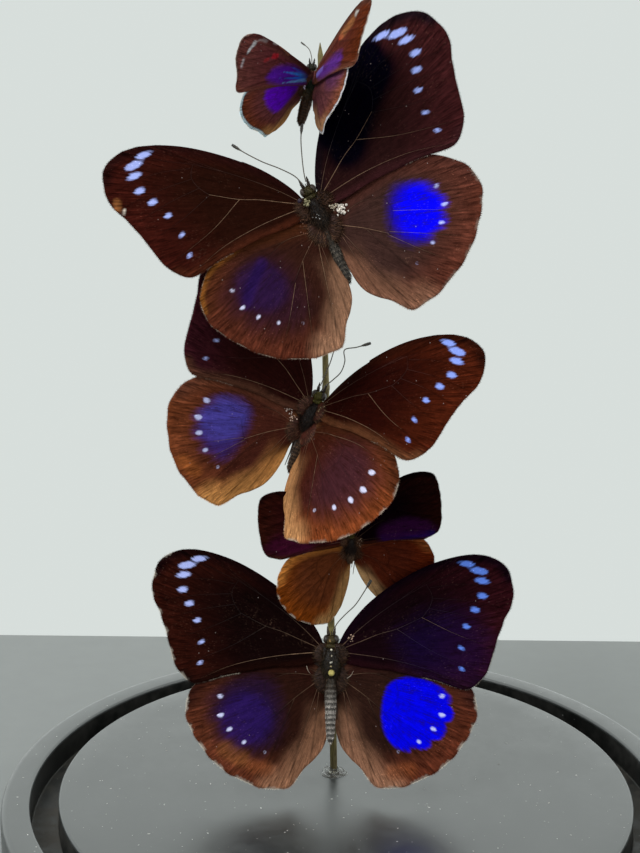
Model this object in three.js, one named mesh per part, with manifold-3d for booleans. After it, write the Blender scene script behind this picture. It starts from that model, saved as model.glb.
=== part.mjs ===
// Five mounted butterflies on a dry stem, on the turned base of a glass dome.
// Millimetres. +Z is up, the butterflies show their backs to -Y, and the
// origin is the centre of the base's underside.

import * as THREE from "three";
import { mergeVertices } from "three/addons/utils/BufferGeometryUtils.js";
import loadManifold from "manifold-3d";

const wasm = await loadManifold();
wasm.setup();

// ---------------------------------------------------------------- sizes

// clearance kept between pieces that touch
const GAP = 0.3;

const BASE = {
  radius: 82.7,
  thickness: 18,
  grooveOuter: 76,
  grooveInner: 69.4,
  grooveDepth: 7,
  lipChamfer: 0.7,
  rimRound: 1.6,
  footChamfer: 1.2,
  sides: 46,
};

const STEM = {
  x: -2.8,
  y: 2.1,
  footRadius: 0.85,
  topRadius: 0.62,
  height: 174.5,
  pointLength: 3,
  leanDegrees: -1.7,
  holeDepth: 8,
  sides: 8,
};

const GLUE = { radius: 3.2, height: 1.7, sides: 14 };

// a wing is thickest at its middle and thins to an edge at its margin
const WING_THICKNESS = 0.36;
// how far the hindwings lie under the forewings
const HINDWING_DROP = 0.8;
// a raised wing bows by its bow at this distance from the hinge line
const BOW_REACH = 40;

// Each kind's wings, seen from above as a right wing: x runs outwards from the
// hinge and y towards the head. A margin runs from the root along the front
// edge to the tip, down the outer margin and back along the inner edge.
const LARGE = {
  size: 1,
  hinge: { out: 2, fore: 2.6, hind: -2.6 },
  forewing: {
    centre: [23, 9],
    margin: [
      [0, 2.5], [5, 10.5], [13, 17.5], [23, 23], [32, 25], [37.5, 23.5], [39.5, 21], [40.5, 15],
      [38.5, 9.5], [37, 4.5], [35, -2.5], [31, -6.5], [22.5, -5], [12.5, -3.5], [4.5, -3], [0, -1.5],
    ],
  },
  hindwing: {
    centre: [15, -9],
    margin: [
      [1, 2], [7, 4], [14, 5], [21, 5], [27, 3], [32, -2], [33, -7], [31, -12.5],
      [26.5, -19], [21, -23], [15, -25.5], [9.5, -25.5], [6, -22], [1, -17], [-1, -10], [-1, -4],
    ],
  },
  thorax: { width: 5.2, depth: 4.8, length: 9 },
  head: 1.55,
  neck: 5.4,
  abdomen: { radius: 1.4, length: 19.4 },
  // paths of the folded legs of the right side
  legs: [
    [[1.2, 1.6, -0.5], [1.9, 2.6, -3], [1.5, 2.7, -7], [1.4, 2.5, -10.5]],
    [[1.2, 1.6, -2], [2.1, 2.3, -4.5], [1.6, 2.75, -9], [1.5, 2.6, -13.5]],
  ],
  finish: "largeWing",
};

const SMALL_VIOLET = {
  size: 0.55,
  hinge: { out: 1, fore: 1.3, hind: -1.3 },
  forewing: {
    centre: [14, 6],
    margin: [
      [0, 0.8], [8, 7.5], [15, 12.5], [20.5, 15.5], [24, 15.5], [25, 12],
      [23.5, 7], [23, 3], [17.5, 1.5], [9, 0], [0, -1.5],
    ],
  },
  hindwing: {
    centre: [9, -4],
    margin: [
      [0, 1], [7.5, 3], [15, 2.5], [19, 0], [18.5, -4.5], [14.5, -8.5],
      [10, -10.5], [6, -12.5], [2.5, -10.5], [0, -6.5],
    ],
  },
  thorax: { width: 2.8, depth: 2.7, length: 5 },
  head: 0.95,
  neck: 3.05,
  abdomen: { radius: 1.0, length: 11 },
  legs: [
    [[0.4, 1.1, -0.3], [0.9, 1.6, -1.8], [0.7, 1.7, -4.2], [0.5, 1.65, -6.2]],
    [[0.4, 1.1, -1.1], [1.2, 1.65, -2.9], [1.1, 1.75, -5.6], [0.9, 1.7, -8]],
  ],
  finish: "violetWing",
};

const SMALL_DARK = {
  ...SMALL_VIOLET,
  forewing: {
    centre: [12, 6],
    margin: [
      [0, 2.5], [5.5, 10], [12, 14.5], [17, 15.5], [20, 14.5], [21, 10.5],
      [21, 5.5], [20, 0.5], [16.5, -1.5], [9, -1], [0, -0.5],
    ],
  },
  hindwing: {
    centre: [9, -6],
    margin: [
      [0, 1.8], [6, 3.5], [13.5, 3], [17.5, -1], [18.5, -6], [16, -12.5],
      [12, -16], [7.5, -17], [3, -12.5], [0, -6],
    ],
  },
  finish: "darkWing",
};

// the small dark butterfly hangs beside the stem and holds it with its left legs
const GRIPPING_LEGS = [
  ...SMALL_VIOLET.legs,
  [[-0.4, 1.1, 0.2], [-1.9, 2.6, -0.6], [-3.1, 2.9, -1.6], [-3.8, 3, -2.6]],
  [[-0.4, 1.1, -1], [-1.7, 2.5, -2.4], [-3, 2.9, -3.4], [-3.7, 3, -4.6]],
];

// Where each butterfly sits: at is the middle of the thorax, with its height
// over the base's top. Angles are degrees: tilt leans the head to the right,
// pitch lays the head back, yaw turns the body about its length, tail bends the
// abdomen to the left, droop bends it away from the back and belly is the share
// of its kind's length that the abdomen has. raise lifts a side's wings off the flat, twist turns
// them about their span, and fore and hind sweep each wing towards the head.
// bow curves a side.
const BUTTERFLIES = [
  {
    name: "top_butterfly",
    kind: SMALL_VIOLET,
    at: [-9.8, -0.9, 165.7],
    tilt: 1, yaw: -1, pitch: 4, tail: 14, belly: 0.9,
    left: { raise: 53, twist: 27, fore: -16, hind: -5, bow: 0.9 },
    right: { raise: 74, twist: -11, fore: 1, hind: 24, bow: -5.6 },
    antennae: {
      left: [[0, -0.3, 4.4], [-0.1, -0.2, 5.4], [-0.7, 0, 7], [-2.5, 0.2, 8.4]],
    },
  },
  {
    name: "upper_butterfly",
    kind: LARGE,
    at: [-7.9, -4.4, 137.1],
    tilt: -25.5, yaw: -1, pitch: -8, belly: 0.88,
    left: { raise: 27, twist: -9.5, fore: 3.5, hind: -5.5, bow: -1 },
    right: { raise: 25.5, twist: -10.5, fore: 9.5, hind: 1, bow: -8.9 },
    antennae: {
      left: [
        [-0.5, -0.5, 7.6], [-1.3, -0.6, 9.7], [-3.6, -0.9, 12.6],
        [-6.6, -1.3, 15.7], [-9.5, -1.9, 19.4], [-11, -2.3, 21.7],
      ],
      right: [[0.4, -0.5, 7.6], [0.8, -0.6, 9.4], [1.8, -0.8, 12.5], [3.4, -1.3, 16.5], [5, -1.6, 19.3]],
    },
  },
  {
    name: "middle_butterfly",
    kind: LARGE,
    scale: 0.945,
    at: [-9.5, -2.1, 90.7],
    tilt: 22, yaw: -11, pitch: -8, droop: 12, belly: 0.8,
    left: { raise: 34.5, twist: 0, fore: 6.5, hind: 1.5, bow: 1 },
    right: { raise: 47, twist: -10.5, fore: 9.5, hind: 2, bow: -7.7 },
    antennae: {
      left: [[-0.4, -0.5, 7.6], [-0.3, -0.7, 11], [-0.3, -1, 14], [-0.7, -1.5, 17.5], [-1.4, -2, 20.5]],
      right: [
        [0.5, -0.5, 7.6], [1.9, -0.5, 10.2], [2.8, -0.5, 12.3], [2.7, -0.7, 15],
        [1.7, -1.1, 17.3], [4.1, -0.9, 19], [6.7, -0.7, 21.1],
      ],
    },
  },
  {
    name: "small_dark_butterfly",
    kind: SMALL_DARK,
    at: [0.5, -1.6, 59.6],
    tilt: 1, yaw: 3, pitch: 6, droop: 8, belly: 0.45,
    left: { raise: 15.5, twist: 0, fore: -5, hind: -15, bow: -0.3 },
    right: { raise: 2, twist: 2, fore: 9, hind: 9, bow: 0.3 },
    legs: GRIPPING_LEGS,
    antennae: {
      left: [[-0.3, -0.4, 4.4], [-1.1, -0.6, 6.5], [-2.6, -0.6, 9.3], [-3.6, -0.5, 12]],
      right: [[0.3, -0.4, 4.4], [1.1, -0.6, 6.5], [2.6, -0.6, 9.3], [3.6, -0.5, 12]],
    },
  },
  {
    name: "lowest_butterfly",
    kind: LARGE,
    at: [-3.9, -4.2, 31.2],
    tilt: 0, yaw: -2, pitch: -20,
    left: { raise: 4, twist: 0, fore: -1.5, hind: -5, bow: 0.8 },
    right: { raise: 7.5, twist: 4, fore: -3, hind: -3.5, bow: -0.4 },
    antennae: {
      right: [
        [0.5, -0.6, 7.6], [1.4, -1, 9.4], [3.3, -1.7, 11.5],
        [5.7, -2.6, 13.8], [7.8, -3.7, 16.9], [9.5, -4.8, 19.7],
      ],
    },
  },
];

// ------------------------------------------------------------- materials

function finish(color, roughness, metalness = 0) {
  return new THREE.MeshStandardMaterial({ color, roughness, metalness });
}

const FINISHES = {
  base: () => finish("#141615", 0.28),
  stem: () => finish("#8d8348", 0.6),
  glue: () => finish("#cfd2cc", 0.15),
  body: () => finish("#3a2f28", 0.9),
  largeWing: () => finish("#2c1711", 0.75),
  violetWing: () => finish("#4a2320", 0.7),
  darkWing: () => finish("#3b1d14", 0.75),
};

// ---------------------------------------------------------- solid helpers

function toSolid(geometry) {
  const bare = geometry.clone();
  bare.deleteAttribute("normal");
  bare.deleteAttribute("uv");
  const merged = mergeVertices(bare, 1e-5);
  return new wasm.Manifold(new wasm.Mesh({
    numProp: 3,
    vertProperties: new Float32Array(merged.attributes.position.array),
    triVerts: new Uint32Array(merged.index.array),
  }));
}

function toGeometry(solid) {
  const mesh = solid.getMesh();
  const geometry = new THREE.BufferGeometry();
  geometry.setAttribute("position", new THREE.BufferAttribute(mesh.vertProperties, 3));
  geometry.setIndex(new THREE.BufferAttribute(mesh.triVerts, 1));
  return geometry;
}

function fuse(geometries) {
  const solids = geometries.map(toSolid);
  return solids.reduce((whole, next) => whole.add(next));
}

function namedMesh(name, geometry, material) {
  const mesh = new THREE.Mesh(geometry, material);
  mesh.name = name;
  return mesh;
}

function degrees(angle) {
  return THREE.MathUtils.degToRad(angle);
}

// a round bar along a path given by its points
function bar(points, radius, steps, sides) {
  const section = new THREE.Shape();
  for (let i = 0; i < sides; i += 1) {
    const angle = (2 * Math.PI * i) / sides;
    section.lineTo(radius * Math.cos(angle), radius * Math.sin(angle));
  }
  const path = new THREE.CatmullRomCurve3(points.map((p) => new THREE.Vector3(...p)));
  return new THREE.ExtrudeGeometry(section, { steps, bevelEnabled: false, extrudePath: path });
}

// ------------------------------------------------------- base and stem

function baseSolid() {
  const b = BASE;
  const top = b.thickness;
  const floor = top - b.grooveDepth;
  const profile = [
    [0, 0],
    [b.radius - b.footChamfer, 0],
    [b.radius, b.footChamfer],
    [b.radius, top - b.rimRound],
    [b.radius - 0.3 * b.rimRound, top - 0.3 * b.rimRound],
    [b.radius - b.rimRound, top],
    [b.grooveOuter + b.lipChamfer, top],
    [b.grooveOuter, top - b.lipChamfer],
    [b.grooveOuter, floor],
    [b.grooveInner, floor],
    [b.grooveInner, top - b.lipChamfer],
    [b.grooveInner - b.lipChamfer, top],
    [0, top],
  ].map(([radius, height]) => new THREE.Vector2(radius, height));
  const disc = new THREE.LatheGeometry(profile, b.sides).rotateX(Math.PI / 2);
  const bore = stemGeometry(GAP).translate(STEM.x, STEM.y, top);
  return toSolid(disc).subtract(toSolid(bore));
}

// the stem with its foot at the origin, grown all round by clearance
function stemGeometry(clearance = 0) {
  const depth = STEM.holeDepth - GAP + clearance;
  const profile = [
    [0, -depth],
    [STEM.footRadius + clearance, -depth],
    [STEM.footRadius + clearance, 0],
    [STEM.topRadius + clearance, STEM.height - STEM.pointLength],
    [0, STEM.height + clearance],
  ].map(([radius, height]) => new THREE.Vector2(radius, height));
  const stem = new THREE.LatheGeometry(profile, STEM.sides).rotateX(Math.PI / 2);
  return stem.rotateY(degrees(STEM.leanDegrees));
}

function glueGeometry() {
  const inner = STEM.footRadius + GAP;
  const profile = [
    [inner, GAP],
    [GLUE.radius, GAP],
    [GLUE.radius * 0.85, GLUE.height * 0.5],
    [inner + 0.5, GLUE.height],
    [inner, GLUE.height],
    [inner, GAP],
  ].map(([radius, height]) => new THREE.Vector2(radius, height));
  return new THREE.LatheGeometry(profile, GLUE.sides).rotateX(Math.PI / 2);
}

// ----------------------------------------------------------- butterflies

// A body lies along Z with its head up. X is its right side as seen from its
// back, -Y is its back and +Y its underside, which is held against the stem.
function bodySolid(kind, { legs, scale, bend, clearance }) {
  const grown = (size) => size * scale + clearance;
  const pieces = [];
  const ellipsoid = (width, depth, length, place, sides, rings) => {
    const ball = new THREE.SphereGeometry(1, sides, rings).rotateX(Math.PI / 2);
    ball.scale(grown(width / 2), grown(depth / 2), grown(length / 2));
    ball.translate(...place.map((value) => value * scale));
    pieces.push(ball);
  };
  const { thorax, head, neck, abdomen, size } = kind;
  const under = 0.4 * size;
  ellipsoid(thorax.width, thorax.depth, thorax.length, [0, under, 0], 10, 6);
  ellipsoid(2 * head, 2 * head, 1.7 * head, [0, under, neck], 8, 4);
  for (const side of [-1, 1]) {
    ellipsoid(head, 1.3 * head, 1.4 * head, [side * 0.72 * head, under, neck + 0.2 * head], 6, 4);
    const palp = new THREE.ConeGeometry(grown(0.3 * head), 1.7 * head * scale, 5).rotateX(Math.PI / 2);
    palp.translate(side * 0.45 * head * scale, under * scale, (neck + 1.35 * head) * scale);
    pieces.push(palp);
  }
  pieces.push(abdomenGeometry(abdomen, { under, scale, bend, clearance }));
  for (const points of legs) {
    pieces.push(bar(points.map((p) => p.map((value) => value * scale)), grown(0.24 * size), 3, 4));
  }
  return fuse(pieces);
}

// the abdomen is a spindle of rings, each a little wider than its joints
function abdomenGeometry({ radius, length: full }, { under, scale, bend, clearance }) {
  const rings = 6;
  const length = full * bend.belly;
  const profile = [[0, -length - clearance / scale]];
  for (let i = 0; i < 2 * rings; i += 1) {
    const along = i / (2 * rings);
    const waist = i % 2 === 0 ? 0.9 : 1;
    const swell = 0.45 + 0.55 * Math.sin(Math.PI * (0.12 + 0.62 * along));
    profile.push([radius * swell * waist, -length * (0.98 - 0.88 * along)]);
  }
  profile.push([0, -0.08 * length]);
  const points = profile.map(([r, z]) => new THREE.Vector2(r && r * scale + clearance, z * scale));
  const spindle = new THREE.LatheGeometry(points, 7).rotateX(Math.PI / 2);
  const bent = spindle.rotateX(degrees(bend.droop)).rotateY(degrees(bend.tail));
  return bent.translate(0, under * scale, 0);
}

// A wing is a flattened ball whose equator is drawn out to the margin.
function wingGeometry(wing, { scale, hinge, sweep, bow, drop, side }) {
  const around = 25;
  const rings = 4;
  const outline = new THREE.CatmullRomCurve3(
    wing.margin.map(([x, y]) => new THREE.Vector3(x, y, 0)), true);
  const centre = new THREE.Vector3(...wing.centre, 0);
  const ball = new THREE.SphereGeometry(1, around, rings);
  const position = ball.attributes.position;
  const turn = degrees(sweep);
  for (let i = 0; i < position.count; i += 1) {
    const column = i % (around + 1);
    const polar = (Math.PI * Math.floor(i / (around + 1))) / rings;
    const step = (side > 0 ? around - column : column) % around;
    const point = outline.getPointAt(step / around).sub(centre);
    point.multiplyScalar(Math.sin(polar)).add(centre).multiplyScalar(scale);
    const out = point.x * Math.cos(turn) - point.y * Math.sin(turn) + hinge[0] * scale;
    const fore = point.x * Math.sin(turn) + point.y * Math.cos(turn) + hinge[1] * scale;
    const rise = bow * (out / BOW_REACH) ** 2 - drop + Math.cos(polar) * WING_THICKNESS / 2;
    position.setXYZ(i, side * out, -rise, fore);
  }
  return ball;
}

// both wings of one side, in the body's frame, cut clear of the body
function sideWings(kind, pose, side, scale, clearBody) {
  const turn = new THREE.Euler(degrees(pose.twist), 0, -side * degrees(pose.raise), "ZXY");
  const toBody = new THREE.Matrix4().makeRotationFromEuler(turn);
  const { hinge } = kind;
  const make = (wing, fore, sweep, drop) => {
    const shape = { scale, hinge: [hinge.out, fore], sweep, bow: pose.bow, drop, side };
    const flat = wingGeometry(wing, shape).applyMatrix4(toBody);
    return toGeometry(toSolid(flat).subtract(clearBody));
  };
  return {
    forewing: make(kind.forewing, hinge.fore, pose.fore, 0),
    hindwing: make(kind.hindwing, hinge.hind, pose.hind, HINDWING_DROP),
  };
}

function butterfly(spec) {
  const { kind, name, scale = 1, tail = 0, droop = 0, belly = 1 } = spec;
  const bend = { tail, droop, belly };
  const group = new THREE.Group();
  const [x, y, height] = spec.at;
  group.position.set(x, y, BASE.thickness + height);
  group.rotation.set(degrees(spec.pitch), degrees(spec.tilt), degrees(spec.yaw), "YXZ");

  const legs = spec.legs ?? bothSides(kind.legs);
  const body = bodySolid(kind, { legs, scale, bend, clearance: 0 });
  group.add(namedMesh(`${name}_body`, toGeometry(body), FINISHES.body()));
  const clearBody = bodySolid(kind, { legs: [], scale, bend, clearance: GAP });
  for (const [word, side] of [["left", -1], ["right", 1]]) {
    const wings = sideWings(kind, spec[word], side, scale, clearBody);
    for (const [wing, geometry] of Object.entries(wings)) {
      group.add(namedMesh(`${name}_${wing}_${word}`, geometry, FINISHES[kind.finish]()));
    }
  }
  for (const [word, points] of Object.entries(spec.antennae ?? {})) {
    group.add(namedMesh(`${name}_antenna_${word}`, antennaGeometry(points, kind), FINISHES.body()));
  }
  return group;
}

function bothSides(rightPaths) {
  const leftPaths = rightPaths.map((path) => path.map(([x, y, z]) => [-x, y, z]));
  return [...rightPaths, ...leftPaths];
}

// a bristle with a club at its end
function antennaGeometry(points, kind) {
  const radius = 0.22 * Math.sqrt(kind.size);
  const rod = bar(points, radius, points.length + 1, 4);
  const club = new THREE.SphereGeometry(1, 4, 3);
  const tip = new THREE.Vector3(...points.at(-1));
  const along = tip.clone().sub(new THREE.Vector3(...points.at(-2))).normalize();
  club.scale(2 * radius, 6 * radius, 2 * radius);
  const lie = new THREE.Quaternion().setFromUnitVectors(new THREE.Vector3(0, 1, 0), along);
  club.applyQuaternion(lie).translate(tip.x, tip.y, tip.z);
  return toGeometry(fuse([rod, club]));
}

// ------------------------------------------------------------------ part

const part = new THREE.Group();
part.add(namedMesh("dome_base", toGeometry(baseSolid()), FINISHES.base()));
const stem = namedMesh("stem", stemGeometry(), FINISHES.stem());
stem.position.set(STEM.x, STEM.y, BASE.thickness);
part.add(stem);
const glue = namedMesh("glue_blob", glueGeometry(), FINISHES.glue());
glue.position.set(STEM.x, STEM.y, BASE.thickness);
part.add(glue);
for (const spec of BUTTERFLIES) {
  part.add(butterfly(spec));
}

export default part;
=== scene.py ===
"""Five mounted butterflies on a dry stem, on the lacquered base of a glass dome.

Laid out as an add-on and run as a script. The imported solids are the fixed
frame; every piece here is built around them in the same frame, in metres.
"""

import math

import bpy
import numpy as np
from bpy.props import FloatProperty, FloatVectorProperty, IntProperty, PointerProperty
from mathutils import Matrix, Vector
from mathutils.geometry import delaunay_2d_cdt


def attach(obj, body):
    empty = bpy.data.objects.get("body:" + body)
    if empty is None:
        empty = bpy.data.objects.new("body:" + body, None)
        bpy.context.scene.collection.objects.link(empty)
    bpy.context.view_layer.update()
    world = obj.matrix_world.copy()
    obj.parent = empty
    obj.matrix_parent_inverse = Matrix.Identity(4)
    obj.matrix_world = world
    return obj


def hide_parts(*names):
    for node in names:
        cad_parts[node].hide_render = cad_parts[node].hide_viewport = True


bl_info = {
    "name": "Mounted butterflies on a dome base",
    "version": (1, 0, 0),
    "blender": (4, 5, 0),
    "location": "3D View > Sidebar > Butterflies",
    "description": "Scaled and veined wings, haired bodies, stem, glue and base",
    "category": "Object",
}

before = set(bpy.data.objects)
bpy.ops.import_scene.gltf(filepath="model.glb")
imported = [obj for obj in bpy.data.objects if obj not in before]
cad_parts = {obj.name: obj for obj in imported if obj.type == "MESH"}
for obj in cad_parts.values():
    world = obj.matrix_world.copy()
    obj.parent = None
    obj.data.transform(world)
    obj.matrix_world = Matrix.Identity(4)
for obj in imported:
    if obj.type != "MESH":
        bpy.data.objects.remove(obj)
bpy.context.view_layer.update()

MM = 0.001
SEED = 11

# ---------------------------------------------------------------- sizes, mm

BASE = {
    "radius": 82.7,
    "thickness": 18.0,
    "groove_outer": 76.0,
    "groove_inner": 69.4,
    "groove_depth": 7.0,
    "rim_round": 1.6,
    "lip_round": 0.7,
    "floor_round": 0.5,
    "foot_chamfer": 1.2,
}
STEM = {
    "foot": (-2.8, 2.1),
    "foot_radius": 0.85,
    "top_radius": 0.62,
    "height": 174.5,
    "lean": -1.7,
    "sunk": 7.0,
    "joints": (24, 47, 73, 97, 121, 143, 163),
    "fibres": 46,
}
GLUE = {"inner": 0.95, "radius": 3.2, "height": 1.5}
HINDWING_DROP = 0.8
BOW_REACH = 40.0
BELLY_RINGS = 14
BELLY_START, BELLY_SPAN = 0.1, 0.88  # the ringed part, as shares of the abdomen
WINGS = [("forewing", "left"), ("hindwing", "left"), ("forewing", "right"), ("hindwing", "right")]

# the stage: the table's edges, how bright the background is for the light on the
# pieces, for the camera and for reflections, the lamps, and the camera in metres
TABLE = {"near": -700.0, "back": 143.0, "half_width": 800.0, "top": -0.2}
GLOW = {"light": 0.55, "seen": 0.33, "mirrored": 1.75}
LAMPS = {
    "key": {"size": 0.7, "place": (-0.55, -0.55, 0.75)},
    "fill": {"size": 0.8, "place": (0.7, -0.45, 0.35)},
}
LAMPS_AIM = (-0.01, 0, 0.1)
CAMERA = {"place": (-0.0071, -0.29308, 0.1648), "down": 11.338, "roll": 0.598, "lens": 54.06}

# Wing outlines and veins, seen from above as a right wing: x runs outwards from
# the hinge and y towards the head, in millimetres.
LARGE = {
    "size": 1.0,
    "slot": "large_wing",
    "hinge": {"out": 2.0, "forewing": 2.6, "hindwing": -2.6},
    "forewing": [
        (0, 2.5), (5, 10.5), (13, 17.5), (23, 23), (32, 25), (37.5, 23.5), (39.5, 21),
        (40.5, 15), (38.5, 9.5), (37, 4.5), (35, -2.5), (31, -6.5), (22.5, -5),
        (12.5, -3.5), (4.5, -3), (0, -1.5),
    ],
    "hindwing": [
        (1, 2), (7, 4), (14, 5), (21, 5), (27, 3), (32, -2), (33, -7), (31, -12.5),
        (26.5, -19), (21, -23), (15, -25.5), (9.5, -25.5), (6, -22), (1, -17),
        (-1, -10), (-1, -4),
    ],
    # the outline's points at the tip, at the inner corner and at the end
    "corners": {"forewing": (6, 11, 15), "hindwing": (5, 11, 15)},
    "spacing": 0.55,
    "thorax": (5.2, 4.8, 9),
    "head": 1.55,
    "neck": 5.4,
    "abdomen": (1.4, 19.4),
}
SMALL_VIOLET = {
    "size": 0.55,
    "slot": "violet_wing",
    "hinge": {"out": 1.0, "forewing": 1.3, "hindwing": -1.3},
    "forewing": [
        (0, 0.8), (8, 7.5), (15, 12.5), (20.5, 15.5), (24, 15.5), (25, 12),
        (23.5, 7), (23, 3), (17.5, 1.5), (9, 0), (0, -1.5),
    ],
    "hindwing": [
        (0, 1), (7.5, 3), (15, 2.5), (19, 0), (18.5, -4.5), (14.5, -8.5),
        (10, -10.5), (6, -12.5), (2.5, -10.5), (0, -6.5),
    ],
    "corners": {"forewing": (4, 7, 10), "hindwing": (3, 7, 9)},
    "spacing": 0.32,
    "thorax": (2.8, 2.7, 5),
    "head": 0.95,
    "neck": 3.05,
    "abdomen": (1.0, 11),
}
SMALL_DARK = {
    **SMALL_VIOLET,
    "slot": "dark_wing",
    "forewing": [
        (0, 2.5), (5.5, 10), (12, 14.5), (17, 15.5), (20, 14.5), (21, 10.5),
        (21, 5.5), (20, 0.5), (16.5, -1.5), (9, -1), (0, -0.5),
    ],
    "hindwing": [
        (0, 1.8), (6, 3.5), (13.5, 3), (17.5, -1), (18.5, -6), (16, -12.5),
        (12, -16), (7.5, -17), (3, -12.5), (0, -6),
    ],
    "corners": {"forewing": (4, 8, 10), "hindwing": (3, 7, 9)},
}

# vein paths of the large kind; the small kinds' veins are these, drawn to
# their own outlines
VEINS = {
    "forewing": [
        [(0.6, 1.6), (4, 5.2), (8, 8.8), (14, 13.4), (20, 17.3)],
        [(0.6, 0.9), (5, 2.9), (9.5, 5), (13.5, 6.4), (19.5, 9.6)],
        [(20, 17.3), (21.6, 14.6), (21, 11.9), (19.5, 9.6)],
        [(14, 13.4), (21, 19.2), (26, 23.4)],
        [(18, 16.1), (24.5, 21.2), (30, 24.3)],
        [(20, 17.3), (28, 21.2), (33.6, 24.4)],
        [(26.5, 20.5), (32.5, 22.4), (39.2, 21.3)],
        [(21, 16.6), (29, 17.9), (40.4, 16.6)],
        [(21.7, 14.2), (30, 14), (39.6, 12.6)],
        [(20.9, 11.7), (29, 10.6), (38.2, 8.2)],
        [(19.3, 9.5), (27, 6.3), (36.7, 3.4)],
        [(13.5, 6.4), (22, 1.8), (34.8, -2.8)],
        [(0.6, 0.1), (12, -0.8), (22, -2.8), (30.6, -6.2)],
    ],
    "hindwing": [
        [(0.8, 0.4), (6, 3), (14, 4.2), (24, 4.1)],
        [(0.8, -0.3), (8, 0.8), (13.6, -0.6)],
        [(0.8, -1.2), (7, -5), (11.6, -8.4)],
        [(13.6, -0.6), (14.2, -4.2), (11.6, -8.4)],
        [(7, 0.8), (18, 1.3), (31.4, -1.4)],
        [(13.6, -0.6), (22, -3.4), (32.7, -7.5)],
        [(14.2, -4.2), (22, -7.6), (31.1, -12.3)],
        [(11.9, -8.1), (20, -12.3), (28.2, -16.8)],
        [(11.3, -8.5), (17, -14.6), (23.8, -21.3)],
        [(7, -5), (11.6, -14), (17, -24.8)],
        [(0.8, -1.8), (5.6, -13), (10.4, -25.5)],
        [(0.8, -2.2), (2.4, -10.5), (4.2, -19.6)],
    ],
}

# Spots of the large kind: centre, half length, half width and the angle of its
# length to x in degrees.
SPOTS = {
    "forewing": [
        (29.4, 22.7, 2.0, 0.72, -4), (32.2, 21.2, 2.2, 0.82, -8), (33.1, 18.9, 1.7, 0.76, -4),
        (33.3, 15.4, 1.3, 0.76, -2), (31.7, 12.1, 1.15, 0.7, -6), (29.9, 8, 0.92, 0.6, -10),
        (28.9, 3, 0.8, 0.46, -30), (29.2, -1.9, 0.8, 0.44, -30),
    ],
    "hindwing": [
        (24.6, -3.2, 0.85, 0.6, -6), (24.8, -7.6, 0.85, 0.62, -15), (22.9, -11.1, 0.72, 0.56, -22),
        (19.7, -14.3, 0.6, 0.46, -31), (15, -17, 0.36, 0.32, -42),
    ],
}

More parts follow.
